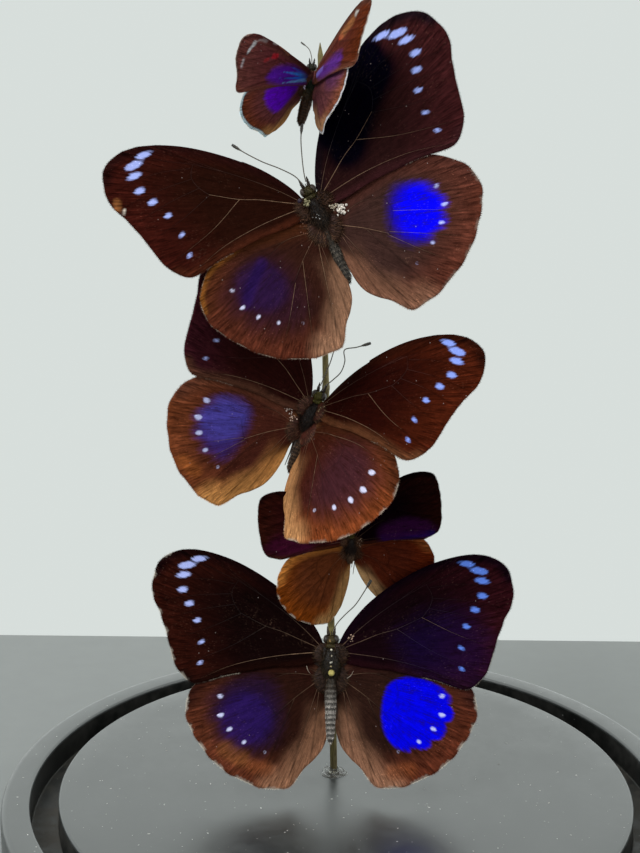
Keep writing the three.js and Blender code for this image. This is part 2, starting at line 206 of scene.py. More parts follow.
# How each butterfly stands. at is the middle of the thorax, over the base's top.
# tilt, yaw, pitch, tail, droop, raise, twist, forewing and hindwing are angles in
# degrees. bow is how far a wing has curved up at BOW_REACH from its hinge. belly,
# plump and hair are the abdomen's length and width and the hair's length, as
# shares of its kind's.
BUTTERFLIES = {
    "top_butterfly": {
        "kind": SMALL_VIOLET, "scale": 1.0, "at": (-9.8, -0.9, 165.7),
        "tilt": 1, "yaw": -1, "pitch": 4, "looks": "green black",
        "tail": 14, "droop": 0, "belly": 0.9, "plump": 1.3, "hair": 1.0,
        "left": {"raise": 53, "twist": 27, "forewing": -16, "hindwing": -5, "bow": 0.9},
        "right": {"raise": 74, "twist": -11, "forewing": 1, "hindwing": 24, "bow": -5.6},
        "antennae": {
            "left": [(0, -0.3, 4.4), (-0.1, -0.2, 5.4), (-0.7, 0, 7), (-2.5, 0.2, 8.4)],
        },
    },
    "upper_butterfly": {
        "kind": LARGE, "scale": 1.0, "at": (-7.9, -4.4, 137.1),
        "tilt": -25.5, "yaw": -1, "pitch": -8, "looks": "blue grey",
        "tail": 0, "droop": 0, "belly": 0.88, "plump": 1.0, "hair": 1.0,
        "left": {"raise": 27, "twist": -9.5, "forewing": 3.5, "hindwing": -5.5, "bow": -1},
        "right": {"raise": 25.5, "twist": -10.5, "forewing": 9.5, "hindwing": 1, "bow": -8.9},
        "antennae": {
            "left": [
                (-0.5, -0.5, 7.6), (-1.3, -0.6, 9.7), (-3.6, -0.9, 12.6),
                (-6.6, -1.3, 15.7), (-9.5, -1.9, 19.4), (-11, -2.3, 21.7),
            ],
            "right": [
                (0.4, -0.5, 7.6), (0.8, -0.6, 9.4), (1.8, -0.8, 12.5),
                (3.4, -1.3, 16.5), (5, -1.6, 19.3),
            ],
        },
    },
    "middle_butterfly": {
        "kind": LARGE, "scale": 0.945, "at": (-9.5, -2.1, 90.7),
        "tilt": 22, "yaw": -11, "pitch": -8, "looks": "warm black",
        "tail": 0, "droop": 12, "belly": 0.8, "plump": 1.0, "hair": 0.8,
        "left": {"raise": 34.5, "twist": 0, "forewing": 6.5, "hindwing": 1.5, "bow": 1},
        "right": {"raise": 47, "twist": -10.5, "forewing": 9.5, "hindwing": 2, "bow": -7.7},
        "antennae": {
            "left": [
                (-0.4, -0.5, 7.6), (-0.3, -0.7, 11), (-0.3, -1, 14),
                (-0.7, -1.5, 17.5), (-1.4, -2, 20.5),
            ],
            "right": [
                (0.5, -0.5, 7.6), (1.9, -0.5, 10.2), (2.8, -0.5, 12.3), (2.7, -0.7, 15),
                (1.7, -1.1, 17.3), (4.1, -0.9, 19), (6.7, -0.7, 21.1),
            ],
        },
    },
    "small_dark_butterfly": {
        "kind": SMALL_DARK, "scale": 1.0, "at": (0.5, -1.6, 59.6),
        "tilt": 1, "yaw": 3, "pitch": 6, "looks": "warm black",
        "tail": 0, "droop": 8, "belly": 0.45, "plump": 1.0, "hair": 1.0,
        "left": {"raise": 15.5, "twist": 0, "forewing": -5, "hindwing": -15, "bow": -0.3},
        "right": {"raise": 2, "twist": 2, "forewing": 9, "hindwing": 9, "bow": 0.3},
        "antennae": {
            "left": [(-0.3, -0.4, 4.4), (-1.1, -0.6, 6.5), (-2.6, -0.6, 9.3), (-3.6, -0.5, 12)],
            "right": [(0.3, -0.4, 4.4), (1.1, -0.6, 6.5), (2.6, -0.6, 9.3), (3.6, -0.5, 12)],
        },
    },
    "lowest_butterfly": {
        "kind": LARGE, "scale": 1.0, "at": (-3.9, -4.2, 31.2),
        "tilt": 0, "yaw": -2, "pitch": -20, "looks": "dusty grey",
        "tail": 0, "droop": 0, "belly": 1.0, "plump": 1.0, "hair": 0.5,
        "left": {"raise": 4, "twist": 0, "forewing": -1.5, "hindwing": -5, "bow": 0.8},
        "right": {"raise": 7.5, "twist": 4, "forewing": -3, "hindwing": -3.5, "bow": -0.4},
        "antennae": {
            "right": [
                (0.5, -0.6, 7.6), (1.4, -1, 9.4), (3.3, -1.7, 11.5),
                (5.7, -2.6, 13.8), (7.8, -3.7, 16.9), (9.5, -4.8, 19.7),
            ],
        },
    },
}

# folded legs of the right side, in the body's frame
LEGS = {
    1.0: [
        [(1.2, 1.6, -0.5), (1.9, 2.6, -3), (1.5, 2.7, -7), (1.4, 2.5, -10.5)],
        [(1.2, 1.6, -2), (2.1, 2.3, -4.5), (1.6, 2.75, -9), (1.5, 2.6, -13.5)],
    ],
    0.55: [
        [(0.4, 1.1, -0.3), (0.9, 1.6, -1.8), (0.7, 1.7, -4.2), (0.5, 1.65, -6.2)],
        [(0.4, 1.1, -1.1), (1.2, 1.65, -2.9), (1.1, 1.75, -5.6), (0.9, 1.7, -8)],
    ],
}
GRIPPING_LEGS = [
    [(-0.4, 1.1, 0.2), (-1.9, 2.6, -0.6), (-3.1, 2.9, -1.6), (-3.8, 3, -2.6)],
    [(-0.4, 1.1, -1), (-1.7, 2.5, -2.4), (-3, 2.9, -3.4), (-3.7, 3, -4.6)],
]

# ------------------------------------------------------------------ colours


def linear(code):
    """The linear colour of a hex code."""
    parts = [int(code[i : i + 2], 16) / 255 for i in (1, 3, 5)]
    return tuple(p / 12.92 if p <= 0.04045 else ((p + 0.055) / 1.055) ** 2.4 for p in parts)


# the outline that the blue patches of the large kind share
PATCH_OUTLINE = [
    (11.9, -1.6), (14.5, 0.1), (18, 0.7), (21.6, 0.3), (24.2, -1.1), (27.2, -4.4), (27.6, -6.7),
    (26.4, -10.3), (24.6, -13.4), (21.9, -15.5), (17.3, -16.8), (13.2, -15.3), (11, -11.3),
    (10.7, -5.9),
]

# How each wing is painted, by the name of its solid.
# ground: colours near the root, near the outer margin, along the front edge
#     and along the inner edge.
# spots: how large and how blue they are.
# pale_veins: the veins, by number, that are worn pale.
# white: how white the fringe is between the veins.
# band: a pale band on the margin: from and to as shares of the edge, width, colour.
# patch: outline, softness of its edge, colour and strength. One that dims also
#     has the middle of its bright part, its reach and its dim colour. The patches of
#     the large hindwings are painted sheen: the structural blue as it shows from one
#     angle, painted bright on one wing of a pair and dim on the other, and the dimming
#     is a painted falloff of that sheen. The purple patches of the small dark
#     forewings and the navy patch of the lowest right forewing are painted sheen too.
# rays and strokes, brushed over the patch and over the ground: path, half width
#     (or one at each end), softness, colour and strength.
# rubbed: where scales have come off in flecks: path, half width and softness.
WING_PAINT = {
    "upper_butterfly_forewing_left": {
        "ground": ("#1e0b06", "#300f0a", "#1c0908", "#3c1b10"),
        "spots": (1.0, 0.55),
        "pale_veins": (1, 11, 12),
        "strokes": [
            ([(38.9, 14.6), (39.3, 13.2)], 0.4, 0.8, "#80502c", 0.8),
            ([(38.2, 12.3), (38.5, 11.8)], 0.2, 0.3, "#cfc4b6", 0.8),
        ],
        "rubbed": [([(22, -1.5), (30, -2.6)], 0.3, 1.5)],
    },
    "upper_butterfly_hindwing_left": {
        "ground": ("#2e1711", "#4c2418", "#402010", "#8a654e"),
        "spots": (0.68, 0.1),
        "pale_veins": (8, 9, 10),
        "white": 0.3,
        # the structural blue painted dim, as it shows at this wing's angle: a weak painted sheen;
        # the first stroke is a streak of the same painted sheen
        "patch": (PATCH_OUTLINE, 3.6, "#221040", 0.66, (18.5, -5.5), 7.5, "#2a1222"),
        "strokes": [
            ([(15.3, -1), (20.1, -4.2), (23.8, -7.4)], 0.5, 1.4, "#21124e", 0.7),
            ([(19, 4.8), (26.6, 3), (31.2, -1.2), (32.4, -4.5)], (0.4, 0.2), 1.3, "#75471c", 0.75),
        ],
        "rubbed": [([(13.4, -15.4), (17.4, -17)], 0.5, 1.2)],
    },
    "upper_butterfly_forewing_right": {
        "ground": ("#241010", "#321415", "#100a10", "#301618"),
        "spots": (1.0, 0.6),
        "pale_veins": (1, 11, 12),
        "strokes": [
            ([(11, 6.5), (17, 12), (24, 17)], 3.0, 3.8, "#020109", 1.0),
            ([(9, 11), (17, 17), (25, 21)], 2.0, 2.4, "#020109", 1.0),
        ],
        "rubbed": [([(3, 3), (9, 5)], 1.0, 3.5), ([(36, 6), (38, 12)], 0.5, 2.0)],
    },
    "upper_butterfly_hindwing_right": {
        "ground": ("#382420", "#522a1f", "#46261f", "#775240"),
        "spots": (0.72, 0.4),
        "pale_veins": (2, 6, 7, 8),
        "white": 0.35,
        # painted sheen: the structural blue painted bright as it shows at this wing's angle,
        # dimming away from its middle
        "patch": (
            [
                (16.6, 0.6), (21.6, -0.8), (24.8, -4.8), (24.4, -9.4), (21.6, -12.6), (17, -13.4),
                (13.6, -11.2), (12.2, -7.4), (13.6, -2.6),
            ],
            1.7, "#0705f0", 1.0, (20.6, -6.8), 8.4, "#21106e",
        ),
        "rubbed": [
            ([(13.6, -15), (15, -16.6)], 0.5, 2.2), ([(28.6, -8.4), (29.9, -11.4)], 0.4, 1.6),
            ([(19, -21), (24, -18)], 0.3, 2.0),
        ],
    },
    "middle_butterfly_forewing_left": {
        "ground": ("#250c0a", "#34131a", "#26100d", "#4e3024"),
        "spots": (0.9, 0.5),
        "pale_veins": (1, 12),
        "rubbed": [([(3, 1), (12, -1)], 0.8, 3.0)],
    },
    "middle_butterfly_hindwing_left": {
        "ground": ("#442018", "#6c3820", "#5c3527", "#cf9052"),
        "spots": (1.1, 0.3),
        "pale_veins": (2, 7, 8),
        # painted sheen: the structural blue as it shows at this wing's angle, dimming away from its
        # middle
        "patch": (
            [(21.4, -0.9), (13.4, -1.6), (12.2, -6.2), (14.6, -14.6), (21.6, -13.4), (25.4, -7.4)],
            2.2, "#46409a", 0.9, (19.5, -3.5), 10.0, "#3a2870",
        ),
        "strokes": [([(20, -20), (24, -18.6)], 0.7, 2.0, "#8f5024", 0.5)],
        "rubbed": [([(3, -1), (7, 1)], 0.6, 2.4), ([(14, -22), (20, -21)], 0.3, 2.0)],
    },
    "middle_butterfly_forewing_right": {
        "ground": ("#210704", "#3e1609", "#200a05", "#54321f"),
        "spots": (1.05, 0.75),
        "pale_veins": (11, 12),
        "rubbed": [([(3, 0), (9, -1)], 1.0, 3.5)],
    },
    "middle_butterfly_hindwing_right": {
        "ground": ("#3a1810", "#70371b", "#3c1e10", "#ab7b50"),
        "spots": (1.15, 0.1),
        "pale_veins": (4, 9),
        "white": 0.5,
        # the same patch painted faint: a weak painted sheen at this wing's angle
        "patch": (PATCH_OUTLINE, 4.5, "#40222c", 0.6),
        "rubbed": [([(3, 0), (9, -2)], 0.8, 3.0), ([(12, -22), (20, -20)], 0.3, 2.4)],
    },
    "lowest_butterfly_forewing_left": {
        "ground": ("#0d0404", "#260c07", "#0e0405", "#160705"),
        "spots": (1.0, 0.5),
        "pale_veins": (12,),
        "white": 0.4,
        "rubbed": [([(3, 3), (16, 8)], 0.6, 3.4)],
    },
    "lowest_butterfly_hindwing_left": {
        "ground": ("#24110c", "#52291a", "#26100c", "#805a44"),
        "spots": (0.86, 0.2),
        "white": 0.9,
        # the structural blue painted dim at this wing's angle: a weak painted sheen, dimming away
        # from its middle
        "patch": (PATCH_OUTLINE, 2.8, "#241352", 0.85, (19, -9), 8.0, "#20102c"),
        "strokes": [
            ([(20.5, -18), (24, -15.6)], 0.8, 2.2, "#84502c", 0.5),
            ([(15, -21), (18, -20)], 0.6, 2.0, "#7c4426", 0.5),
        ],
        "rubbed": [([(14, -22), (22, -18.5), (27, -13)], 0.4, 2.4)],
    },
    "lowest_butterfly_forewing_right": {
        # the violet tint of this ground and the soft navy patch are painted sheen
        "ground": ("#12050a", "#280b10", "#0a030b", "#1c090d"),
        "spots": (1.0, 0.95),
        "pale_veins": (10,),
        "white": 0.3,
        "patch": (
            [(14, 4), (20, 9), (29, 11.4), (35, 6), (35.6, -1.6), (31, -5.4), (20, -3.4)], 4.6,
            "#150a3c", 0.42,
        ),
        "rubbed": [([(3, 3), (16, 8)], 0.4, 3.0)],
    },
    "lowest_butterfly_hindwing_right": {
        "ground": ("#271611", "#522719", "#2c1512", "#845e49"),
        "spots": (0.85, 0.3),
        "white": 0.9,
        # painted sheen: the structural blue painted bright and sharp as it shows at this wing's
        # angle
        "patch": (PATCH_OUTLINE, 0.6, "#0404dc", 1.0),
        "strokes": [([(14, -22), (18, -21)], 0.6, 2.2, "#7c4224", 0.5)],
        "rubbed": [([(12, -23), (20, -20), (27, -14)], 0.4, 2.2)],
    },
    "top_butterfly_forewing_left": {
        "ground": ("#5e2c30", "#653833", "#532a28", "#683a30"),
        "band": (0.3, 0.6, 0.18, "#8a6f66"),
        "patch": (
            [(1, -0.9), (6, 4), (12.4, 5.4), (14.4, 3.8), (10, 0.8), (5, -0.7)], 1.0, "#5a1cae",
            0.95,
        ),
        "rays": [
            ([(0, -0.2), (3.4, 2.1), (7.6, 4.7)], (0.34, 0.02), 0.5, "#2a66ff", 1.0),
            ([(0, -0.3), (3.6, 1.5), (9.4, 3.7)], (0.4, 0.02), 0.5, "#3a90ff", 1.0),
            ([(0, -0.4), (4.4, 0.9), (10.2, 2.4)], (0.34, 0.02), 0.45, "#2c78ff", 1.0),
            ([(0, -0.6), (4.5, 0.1), (8.8, 0.8)], (0.38, 0.02), 0.45, "#74b4ff", 1.0),
        ],
        "strokes": [
            ([(15, 8.3), (15.8, 8.2)], 0.25, 0.4, "#8a2a2e", 0.9),
            ([(12.5, 8.3), (13.5, 8.6)], 0.35, 0.45, "#b02531", 0.95),
            ([(20.2, 13.3), (21.2, 12.4), (21.8, 11.6)], (0.25, 0.12), 0.6, "#c9cdd0", 0.8),
            ([(16.6, 12.9), (18.4, 13.6), (20.2, 13.4)], (0.12, 0.04), 0.5, "#a89c9c", 0.55),
            ([(13.2, 11.4), (14.2, 11.9)], 0.1, 0.4, "#b0a8a6", 0.7),
            ([(22.6, 10.2), (22.6, 8.6)], 0.05, 0.5, "#b9b4b8", 0.65),
            ([(12.5, 11.1), (10.6, 9.2), (8.7, 7.6)], 0.06, 0.16, "#96644a", 0.8),
        ],
        "rubbed": [([(9, 5), (20, 8)], 1.0, 3.0)],
    },
    "top_butterfly_hindwing_left": {
        "ground": ("#6c3a3c", "#6e361f", "#643a34", "#b07c4b"),
        "white": 1.0,
        "band": (0.3, 0.68, 0.62, "#c9e2ea"),
        "patch": (
            [(12.4, -0.6), (7, 0.9), (2.1, 0.3), (2.6, -1.8), (6.2, -5.8), (9.4, -4.6)], 0.8,
            "#6e10e0", 1.0,
        ),
    },
    "top_butterfly_forewing_right": {
        "ground": ("#4c2019", "#52230f", "#54342a", "#5f382a"),
        "white": 0.4,
        "band": (0.4, 0.62, 0.3, "#a8988e"),
        "patch": (
            [(3, 0), (8, 3), (15.4, 5), (16, 3.2), (10, 0.6), (5, -0.4)], 1.1, "#54298c", 0.75,
        ),
        "strokes": [
            ([(12.7, 8), (13.8, 8.4)], 0.35, 0.5, "#a8302a", 0.85),
            ([(18.6, 12.9), (19.7, 13.4)], (0.3, 0.05), 0.7, "#c8c4bc", 0.75),
            ([(13.4, 8.6), (17.6, 11.4)], 0.4, 1.3, "#94603a", 0.7),
            ([(2.4, 0.3), (5.6, 1.6)], 0.3, 0.5, "#8176cc", 0.8),
        ],
        "rubbed": [([(10, 5), (20, 12)], 1.0, 3.0)],
    },
    "top_butterfly_hindwing_right": {
        "ground": ("#64383a", "#7a4630", "#6c4436", "#a87c58"),
        "white": 0.95,
        "band": (0.36, 0.8, 0.55, "#c8c9cf"),
        "patch": ([(7, -0.4), (14, -0.7), (17.6, -2.6), (15, -4.4), (8, -3)], 1.6, "#4a2668", 0.4),
    },
    "small_dark_butterfly_forewing_left": {
        "ground": ("#2c0c0f", "#280d08", "#160606", "#3c1c0f"),
        # the purple patch is painted sheen
        "patch": ([(9, 3), (17, 4.6), (20, 2), (16, -1), (9, -0.6)], 1.6, "#380a24", 0.8),
    },
    "small_dark_butterfly_hindwing_left": {
        "ground": ("#4e2613", "#6a320b", "#a86a30", "#8d6840"),
        "white": 0.6,
    },
    "small_dark_butterfly_forewing_right": {
        "ground": ("#080104", "#1b0705", "#030102", "#2e140d"),
        # the purple patch and the blue stroke are painted sheen
        "patch": (
            [(6, 2.2), (12, 4.2), (18, 2.4), (19.4, 0.4), (14, -0.9), (6, -0.6)], 1.3, "#2b0830",
            0.9,
        ),
        "strokes": [([(7, 0.1), (13, -0.1), (18, -0.2)], 0.4, 0.9, "#120a5c", 0.8)],
        "rubbed": [([(8, 0.4), (19, 1.2)], 0.4, 1.2)],
    },
    "small_dark_butterfly_hindwing_right": {
        "ground": ("#461a0e", "#561d08", "#744020", "#b08a60"),
    },
}

# --------------------------------------------------------------- properties


def colour(name, description, code):
    return FloatVectorProperty(
        name=name, description=description, subtype="COLOR", size=3,
        min=0, max=1, default=linear(code),
    )


def length(name, description, millimetres):
    return FloatProperty(
        name=name, description=description, unit="LENGTH", subtype="DISTANCE",
        min=0, default=millimetres * MM, precision=5,
    )


class BaseSettings(bpy.types.PropertyGroup):
    """Lacquer and dust of the dome base."""

    lacquer: colour("Lacquer", "Colour of the black lacquer", "#282b2b")
    groove_dust: colour("Groove dust", "Colour of the dust in the groove", "#6d675f")
    speck_size: length("Speck size", "Radius of a dust speck on the base", 0.16)
    speck_count: IntProperty(
        name="Specks", description="Dust specks on the base", default=800, min=0)


class StemSettings(bpy.types.PropertyGroup):
    """Bark of the stem and the glue round its foot."""

    bark: colour("Bark", "Main colour of the stem", "#6d6330")
    pale_bark: colour("Pale bark", "Colour of the stem's light streaks", "#b3a468")
    knot_height: length("Knot height", "How far a joint of the stem stands out", 0.16)


class WingSettings(bpy.types.PropertyGroup):
    """Membrane, veins, scales and fringe."""

    membrane: length("Membrane", "Thickness of a wing", 0.12)
    relief: length("Relief", "Height of the folds between the veins", 0.16)
    vein_radius: length("Vein radius", "Radius of a vein at the wing's root", 0.125)
    fringe_length: length("Fringe", "Length of the fringe scales", 0.42)
    spot_blue: colour("Blue spot", "Colour of the bluest spots", "#5886f2")
    spot_white: colour("White spot", "Colour of the palest spots", "#dad9f0")
    vein_light: colour("Light vein", "Colour of a worn vein", "#9c7c62")
    under: colour("Underside", "Main colour of a wing's underside", "#6b4a36")


class BodySettings(bpy.types.PropertyGroup):
    """Hair of the bodies."""

    hair_length: length("Hair length", "Length of the longest body hairs", 1.9)
    hair_density: FloatProperty(
        name="Hair density", description="Hairs on a square millimetre", default=22.0, min=0)


class StageSettings(bpy.types.PropertyGroup):
    """Table, background and lights."""

    table: colour("Table", "Colour of the table", "#8a8d8c")
    wall: colour("Background", "Colour behind the table", "#e4ebe8")
    key_power: FloatProperty(
        name="Key light", description="Power of the large light", unit="POWER", default=9.0, min=0)
    fill_power: FloatProperty(
        name="Fill light", description="Power of the fill light", unit="POWER", default=3.0, min=0)


# ------------------------------------------------------------- node helpers


class Nodes:
    """Short calls for filling a node tree."""

    def __init__(self, tree):
        self.tree = tree
        tree.nodes.clear()

    def put(self, socket, value):
        if isinstance(value, bpy.types.NodeSocket):
            self.tree.links.new(value, socket)
        else:
            socket.default_value = value

    def add(self, kind, inputs=None, **settings):
        node = self.tree.nodes.new(kind)
        for key, value in settings.items():
            setattr(node, key, value)
        for key, value in (inputs or {}).items():
            self.put(node.inputs[key], value)
        return node

    def math(self, operation, *values, clamp=False):
        inputs = dict(enumerate(values))
        return self.add("ShaderNodeMath", inputs, operation=operation, use_clamp=clamp).outputs[0]

    def times(self, a, b, clamp=False):
        return self.math("MULTIPLY", a, b, clamp=clamp)

    def plus(self, a, b):
        return self.math("ADD", a, b)

    def vector(self, operation, inputs):
        return self.add("ShaderNodeVectorMath", inputs, operation=operation).outputs[0]

    def mix(self, factor, a, b, blend="MIX"):
        node = self.add("ShaderNodeMix", data_type="RGBA", blend_type=blend)
        self.put(node.inputs[0], factor)
        for socket, value in ((node.inputs[6], a), (node.inputs[7], b)):
            if isinstance(value, tuple) and len(value) == 3:
                value = (*value, 1.0)
            self.put(socket, value)
        return node.outputs[2]

    def filtered(self, colour, factors):
        """A colour times another."""
        return self.mix(1.0, colour, factors, "MULTIPLY")

    def shaded(self, colour, level):
        """A colour times a brightness."""
        grey = self.add("ShaderNodeCombineColor", {0: level, 1: level, 2: level})
        return self.filtered(colour, grey.outputs[0])

    def ramp(self, value, start, end, low=0.0, high=1.0):
        """A smooth step from low at start to high at end."""
        node = self.add(
            "ShaderNodeMapRange", {0: value, 1: start, 2: end, 3: low, 4: high},
            interpolation_type="SMOOTHSTEP",
        )
        return node.outputs[0]

    def noise(self, vector, scale, detail=2.0, roughness=0.5):
        node = self.add(
            "ShaderNodeTexNoise",
            {"Vector": vector, "Scale": scale, "Detail": detail, "Roughness": roughness},
        )
        return node.outputs["Fac"]

    def attribute(self, name):
        return self.add("ShaderNodeAttribute", attribute_name=name).outputs

    def hue(self, name):
        return self.attribute(name)["Color"]

    def value(self, name):
        return self.attribute(name)["Fac"]

    def group(self, tree, **inputs):
        inputs = {key.replace("_", " "): value for key, value in inputs.items()}
        return self.add("ShaderNodeGroup", inputs, node_tree=tree)


def new_group(name, kind, inputs, outputs):
    """An empty node group with its sockets, and its input and output nodes."""
    tree = bpy.data.node_groups.new(name, kind)
    make = Nodes(tree)
    for label, socket, default in inputs:
        item = tree.interface.new_socket(label, in_out="INPUT", socket_type=socket)
        if default is not None:
            item.default_value = default
    for label, socket in outputs:
        tree.interface.new_socket(label, in_out="OUTPUT", socket_type=socket)
    return tree, make, make.add("NodeGroupInput").outputs, make.add("NodeGroupOutput").inputs


def new_material(name, roughness=0.5, **fixed):
    """A material with one principled shader; fixed are its uniform sockets."""
    material = bpy.data.materials.new(name)
    material.use_nodes = True
    make = Nodes(material.node_tree)
    shader = make.add("ShaderNodeBsdfPrincipled", {"Roughness": roughness})
    for key, value in fixed.items():
        shader.inputs[key.replace("_", " ")].default_value = value
    out = make.add("ShaderNodeOutputMaterial")
    make.tree.links.new(shader.outputs[0], out.inputs[0])
    return material, make, shader.inputs


def shader_group(name):
    """The effects that several materials share, each built once."""
    if name in bpy.data.node_groups:
        return bpy.data.node_groups[name]
    makers = {"Dust specks": specks_group, "Scale rows": streaks_group, "Fine grain": grain_group,
              "Loose flecks": flecks_group}
    return makers[name](name)


def flecks_group(name):
    """Short flecks that lie along a wing's rays and gather in loose clouds."""
    tree, make, given, out = new_group(
        name, "ShaderNodeTree",
        [("Vector", "NodeSocketVector", None), ("UV", "NodeSocketVector", None),
         ("Across", "NodeSocketFloat", 400.0), ("Along", "NodeSocketFloat", 52.0),
         ("Clouds", "NodeSocketFloat", 170.0)],
        [("Mask", "NodeSocketFloat")],
    )
    split = make.add("ShaderNodeSeparateXYZ", {0: given["UV"]}).outputs
    across = make.times(split[0], given["Across"])
    along = make.times(split[1], given["Along"])
    ray = make.add("ShaderNodeCombineXYZ", {0: across, 1: along, 2: 9.0}).outputs[0]
    fine = make.ramp(make.noise(ray, 1.0, 2.0, 0.6), 0.62, 0.7)
    cloud = make.ramp(make.noise(given["Vector"], given["Clouds"], 2.0, 0.6), 0.42, 0.66, 0.1, 1.0)
    make.put(out["Mask"], make.times(fine, cloud))
    return tree


def specks_group(name):
    """Scattered round specks: a share of the cells of a lattice holds one."""
    tree, make, given, out = new_group(
        name, "ShaderNodeTree",
        [("Vector", "NodeSocketVector", None), ("Scale", "NodeSocketFloat", 900.0),
         ("Size", "NodeSocketFloat", 0.25), ("Share", "NodeSocketFloat", 0.1)],
        [("Mask", "NodeSocketFloat")],
    )
    cells = make.add("ShaderNodeTexVoronoi", {"Vector": given["Vector"], "Scale": given["Scale"]})
    chance = make.add("ShaderNodeSeparateColor", {0: cells.outputs["Color"]}).outputs[0]
    chosen = make.math("LESS_THAN", chance, given["Share"])
    near = make.math("SUBTRACT", given["Size"], cells.outputs["Distance"])
    sharp = make.times(near, 9.0, clamp=True)
    make.put(out["Mask"], make.times(sharp, chosen))
    return tree


def streaks_group(name):
    """Fine and broad streaks that run out from a wing's root along its UVs."""
    tree, make, given, out = new_group(
        name, "ShaderNodeTree",
        [("UV", "NodeSocketVector", None), ("Across", "NodeSocketFloat", 210.0),
         ("Along", "NodeSocketFloat", 7.0)],
        [("Fine", "NodeSocketFloat"), ("Broad", "NodeSocketFloat")],
    )
    split = make.add("ShaderNodeSeparateXYZ", {0: given["UV"]}).outputs
    across = make.times(split[0], given["Across"])
    along = make.times(split[1], given["Along"])
    fine = make.add("ShaderNodeCombineXYZ", {0: across, 1: along}).outputs[0]
    make.put(out["Fine"], make.noise(fine, 1.0, 3.0, 0.6))
    broad_across = make.times(across, 0.22)
    broad = make.add("ShaderNodeCombineXYZ", {0: broad_across, 1: along, 2: 4.0}).outputs[0]
    make.put(out["Broad"], make.noise(broad, 1.0, 2.0, 0.5))
    return tree


def grain_group(name):
    """Two sizes of soft grain added together."""
    tree, make, given, out = new_group(
        name, "ShaderNodeTree",
        [("Vector", "NodeSocketVector", None), ("Scale", "NodeSocketFloat", 500.0)],
        [("Value", "NodeSocketFloat")],
    )
    coarse = make.noise(given["Vector"], given["Scale"], 3.0, 0.6)
    finer = make.times(given["Scale"], 5.0)
    fine = make.noise(given["Vector"], finer, 2.0, 0.5)
    both = make.plus(make.times(coarse, 0.65), make.times(fine, 0.35))
    make.put(out["Value"], both)
    return tree


def object_coordinates(make):
    return make.add("ShaderNodeTexCoord").outputs["Object"]


def wing_coordinates(make):
    return make.add("ShaderNodeUVMap", uv_map="wing").outputs[0]


def grain_over(make, where, scale):
    return make.group(shader_group("Fine grain"), Vector=where, Scale=scale).outputs[0]


def specks_over(make, where, scale, size, share):
    tree = shader_group("Dust specks")
    return make.group(tree, Vector=where, Scale=scale, Size=size, Share=share).outputs[0]


def bump(make, height, strength, distance):
    inputs = {"Strength": strength, "Distance": distance, "Height": height}
    return make.add("ShaderNodeBump", inputs).outputs[0]


# ----------------------------------------------------------- mesh helpers


class Shells:
    """Gathers closed shells into one mesh, with a material slot and a tint each."""

    def __init__(self):
        self.points, self.faces, self.slots, self.tints, self.count = [], [], [], [], 0

    def add(self, points, faces, slot=0, tint=(1.0, 1.0, 1.0)):
        points = np.asarray(points, float)
        self.points.append(points)
        self.faces += [[i + self.count for i in face] for face in faces]
        self.slots += [slot] * len(faces)
        self.tints.append(np.broadcast_to(np.asarray(tint, float), (len(points), 3)))
        self.count += len(points)

    def piece(self, name, materials, values=None):
        colours = {"tint": np.concatenate(self.tints)}
        return new_piece(
            name, np.concatenate(self.points), self.faces, materials,
            slots=self.slots, colours=colours, values=values,
        )


def new_piece(name, points, faces, materials, slots=None, colours=None, values=None, uv=None,
              edges=()):
    """A mesh object at the origin, from points in millimetres in the part's frame."""
    mesh = bpy.data.meshes.new(name)
    mesh.from_pydata((np.asarray(points) * MM).tolist(), edges, faces)
    for material in materials:
        mesh.materials.append(material)
    if slots is not None:
        mesh.polygons.foreach_set("material_index", slots)
    if faces:
        mesh.shade_smooth()
    for key, data in (colours or {}).items():
        data = np.asarray(data, float)
        if data.shape[1] == 3:
            data = np.concatenate([data, np.ones((len(data), 1))], 1)
        layer = mesh.attributes.new(key, "FLOAT_COLOR", "POINT")
        layer.data.foreach_set("color", data.ravel())
    for key, data in (values or {}).items():
        data = np.asarray(data, float)
        if data.ndim == 2:
            layer = mesh.attributes.new(key, "FLOAT_VECTOR", "POINT")
            layer.data.foreach_set("vector", data.ravel())
        else:
            layer = mesh.attributes.new(key, "FLOAT", "POINT")
            layer.data.foreach_set("value", data)
    if uv is not None:
        layer = mesh.uv_layers.new(name="wing")
        corners = np.zeros(len(mesh.loops), int)
        mesh.loops.foreach_get("vertex_index", corners)
        layer.data.foreach_set("uv", np.asarray(uv)[corners].ravel())
    mesh.update()
    piece = bpy.data.objects.new(name, mesh)
    bpy.context.scene.collection.objects.link(piece)
    return piece


def settle(piece, slot_name, *nodes):
    """Joins a finished piece to the frame's one body."""
    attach(piece, "root")
    if nodes:
        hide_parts(*nodes)
    return piece


def grow(piece, tree, **inputs):
    """Runs a geometry tree on a piece and keeps the result as its plain mesh."""
    modifier = piece.modifiers.new("grow", "NODES")
    modifier.node_group = tree
    for item in tree.interface.items_tree:
        if item.item_type == "SOCKET" and item.in_out == "INPUT":
            key = item.name.lower().replace(" ", "_")
            if key in inputs:
                modifier[item.identifier] = inputs[key]
    graph = bpy.context.evaluated_depsgraph_get()
    graph.update()
    made = bpy.data.meshes.new_from_object(piece.evaluated_get(graph), depsgraph=graph)
    piece.modifiers.remove(modifier)
    old = piece.data
    piece.data = made
    made.name = piece.name
    bpy.data.meshes.remove(old)
    if not len(made.polygons):
        raise RuntimeError(f"{piece.name} came out empty")
    return piece


def turn(axis, degrees):
    """A rotation matrix."""
    return np.array(Matrix.Rotation(math.radians(degrees), 3, axis))


def smooth(start, end, value):
    t = np.clip((value - start) / (end - start), 0, 1)
    return t * t * (3 - 2 * t)


def blend(a, b, share):
    return a + (np.asarray(b) - a) * np.asarray(share)[..., None]


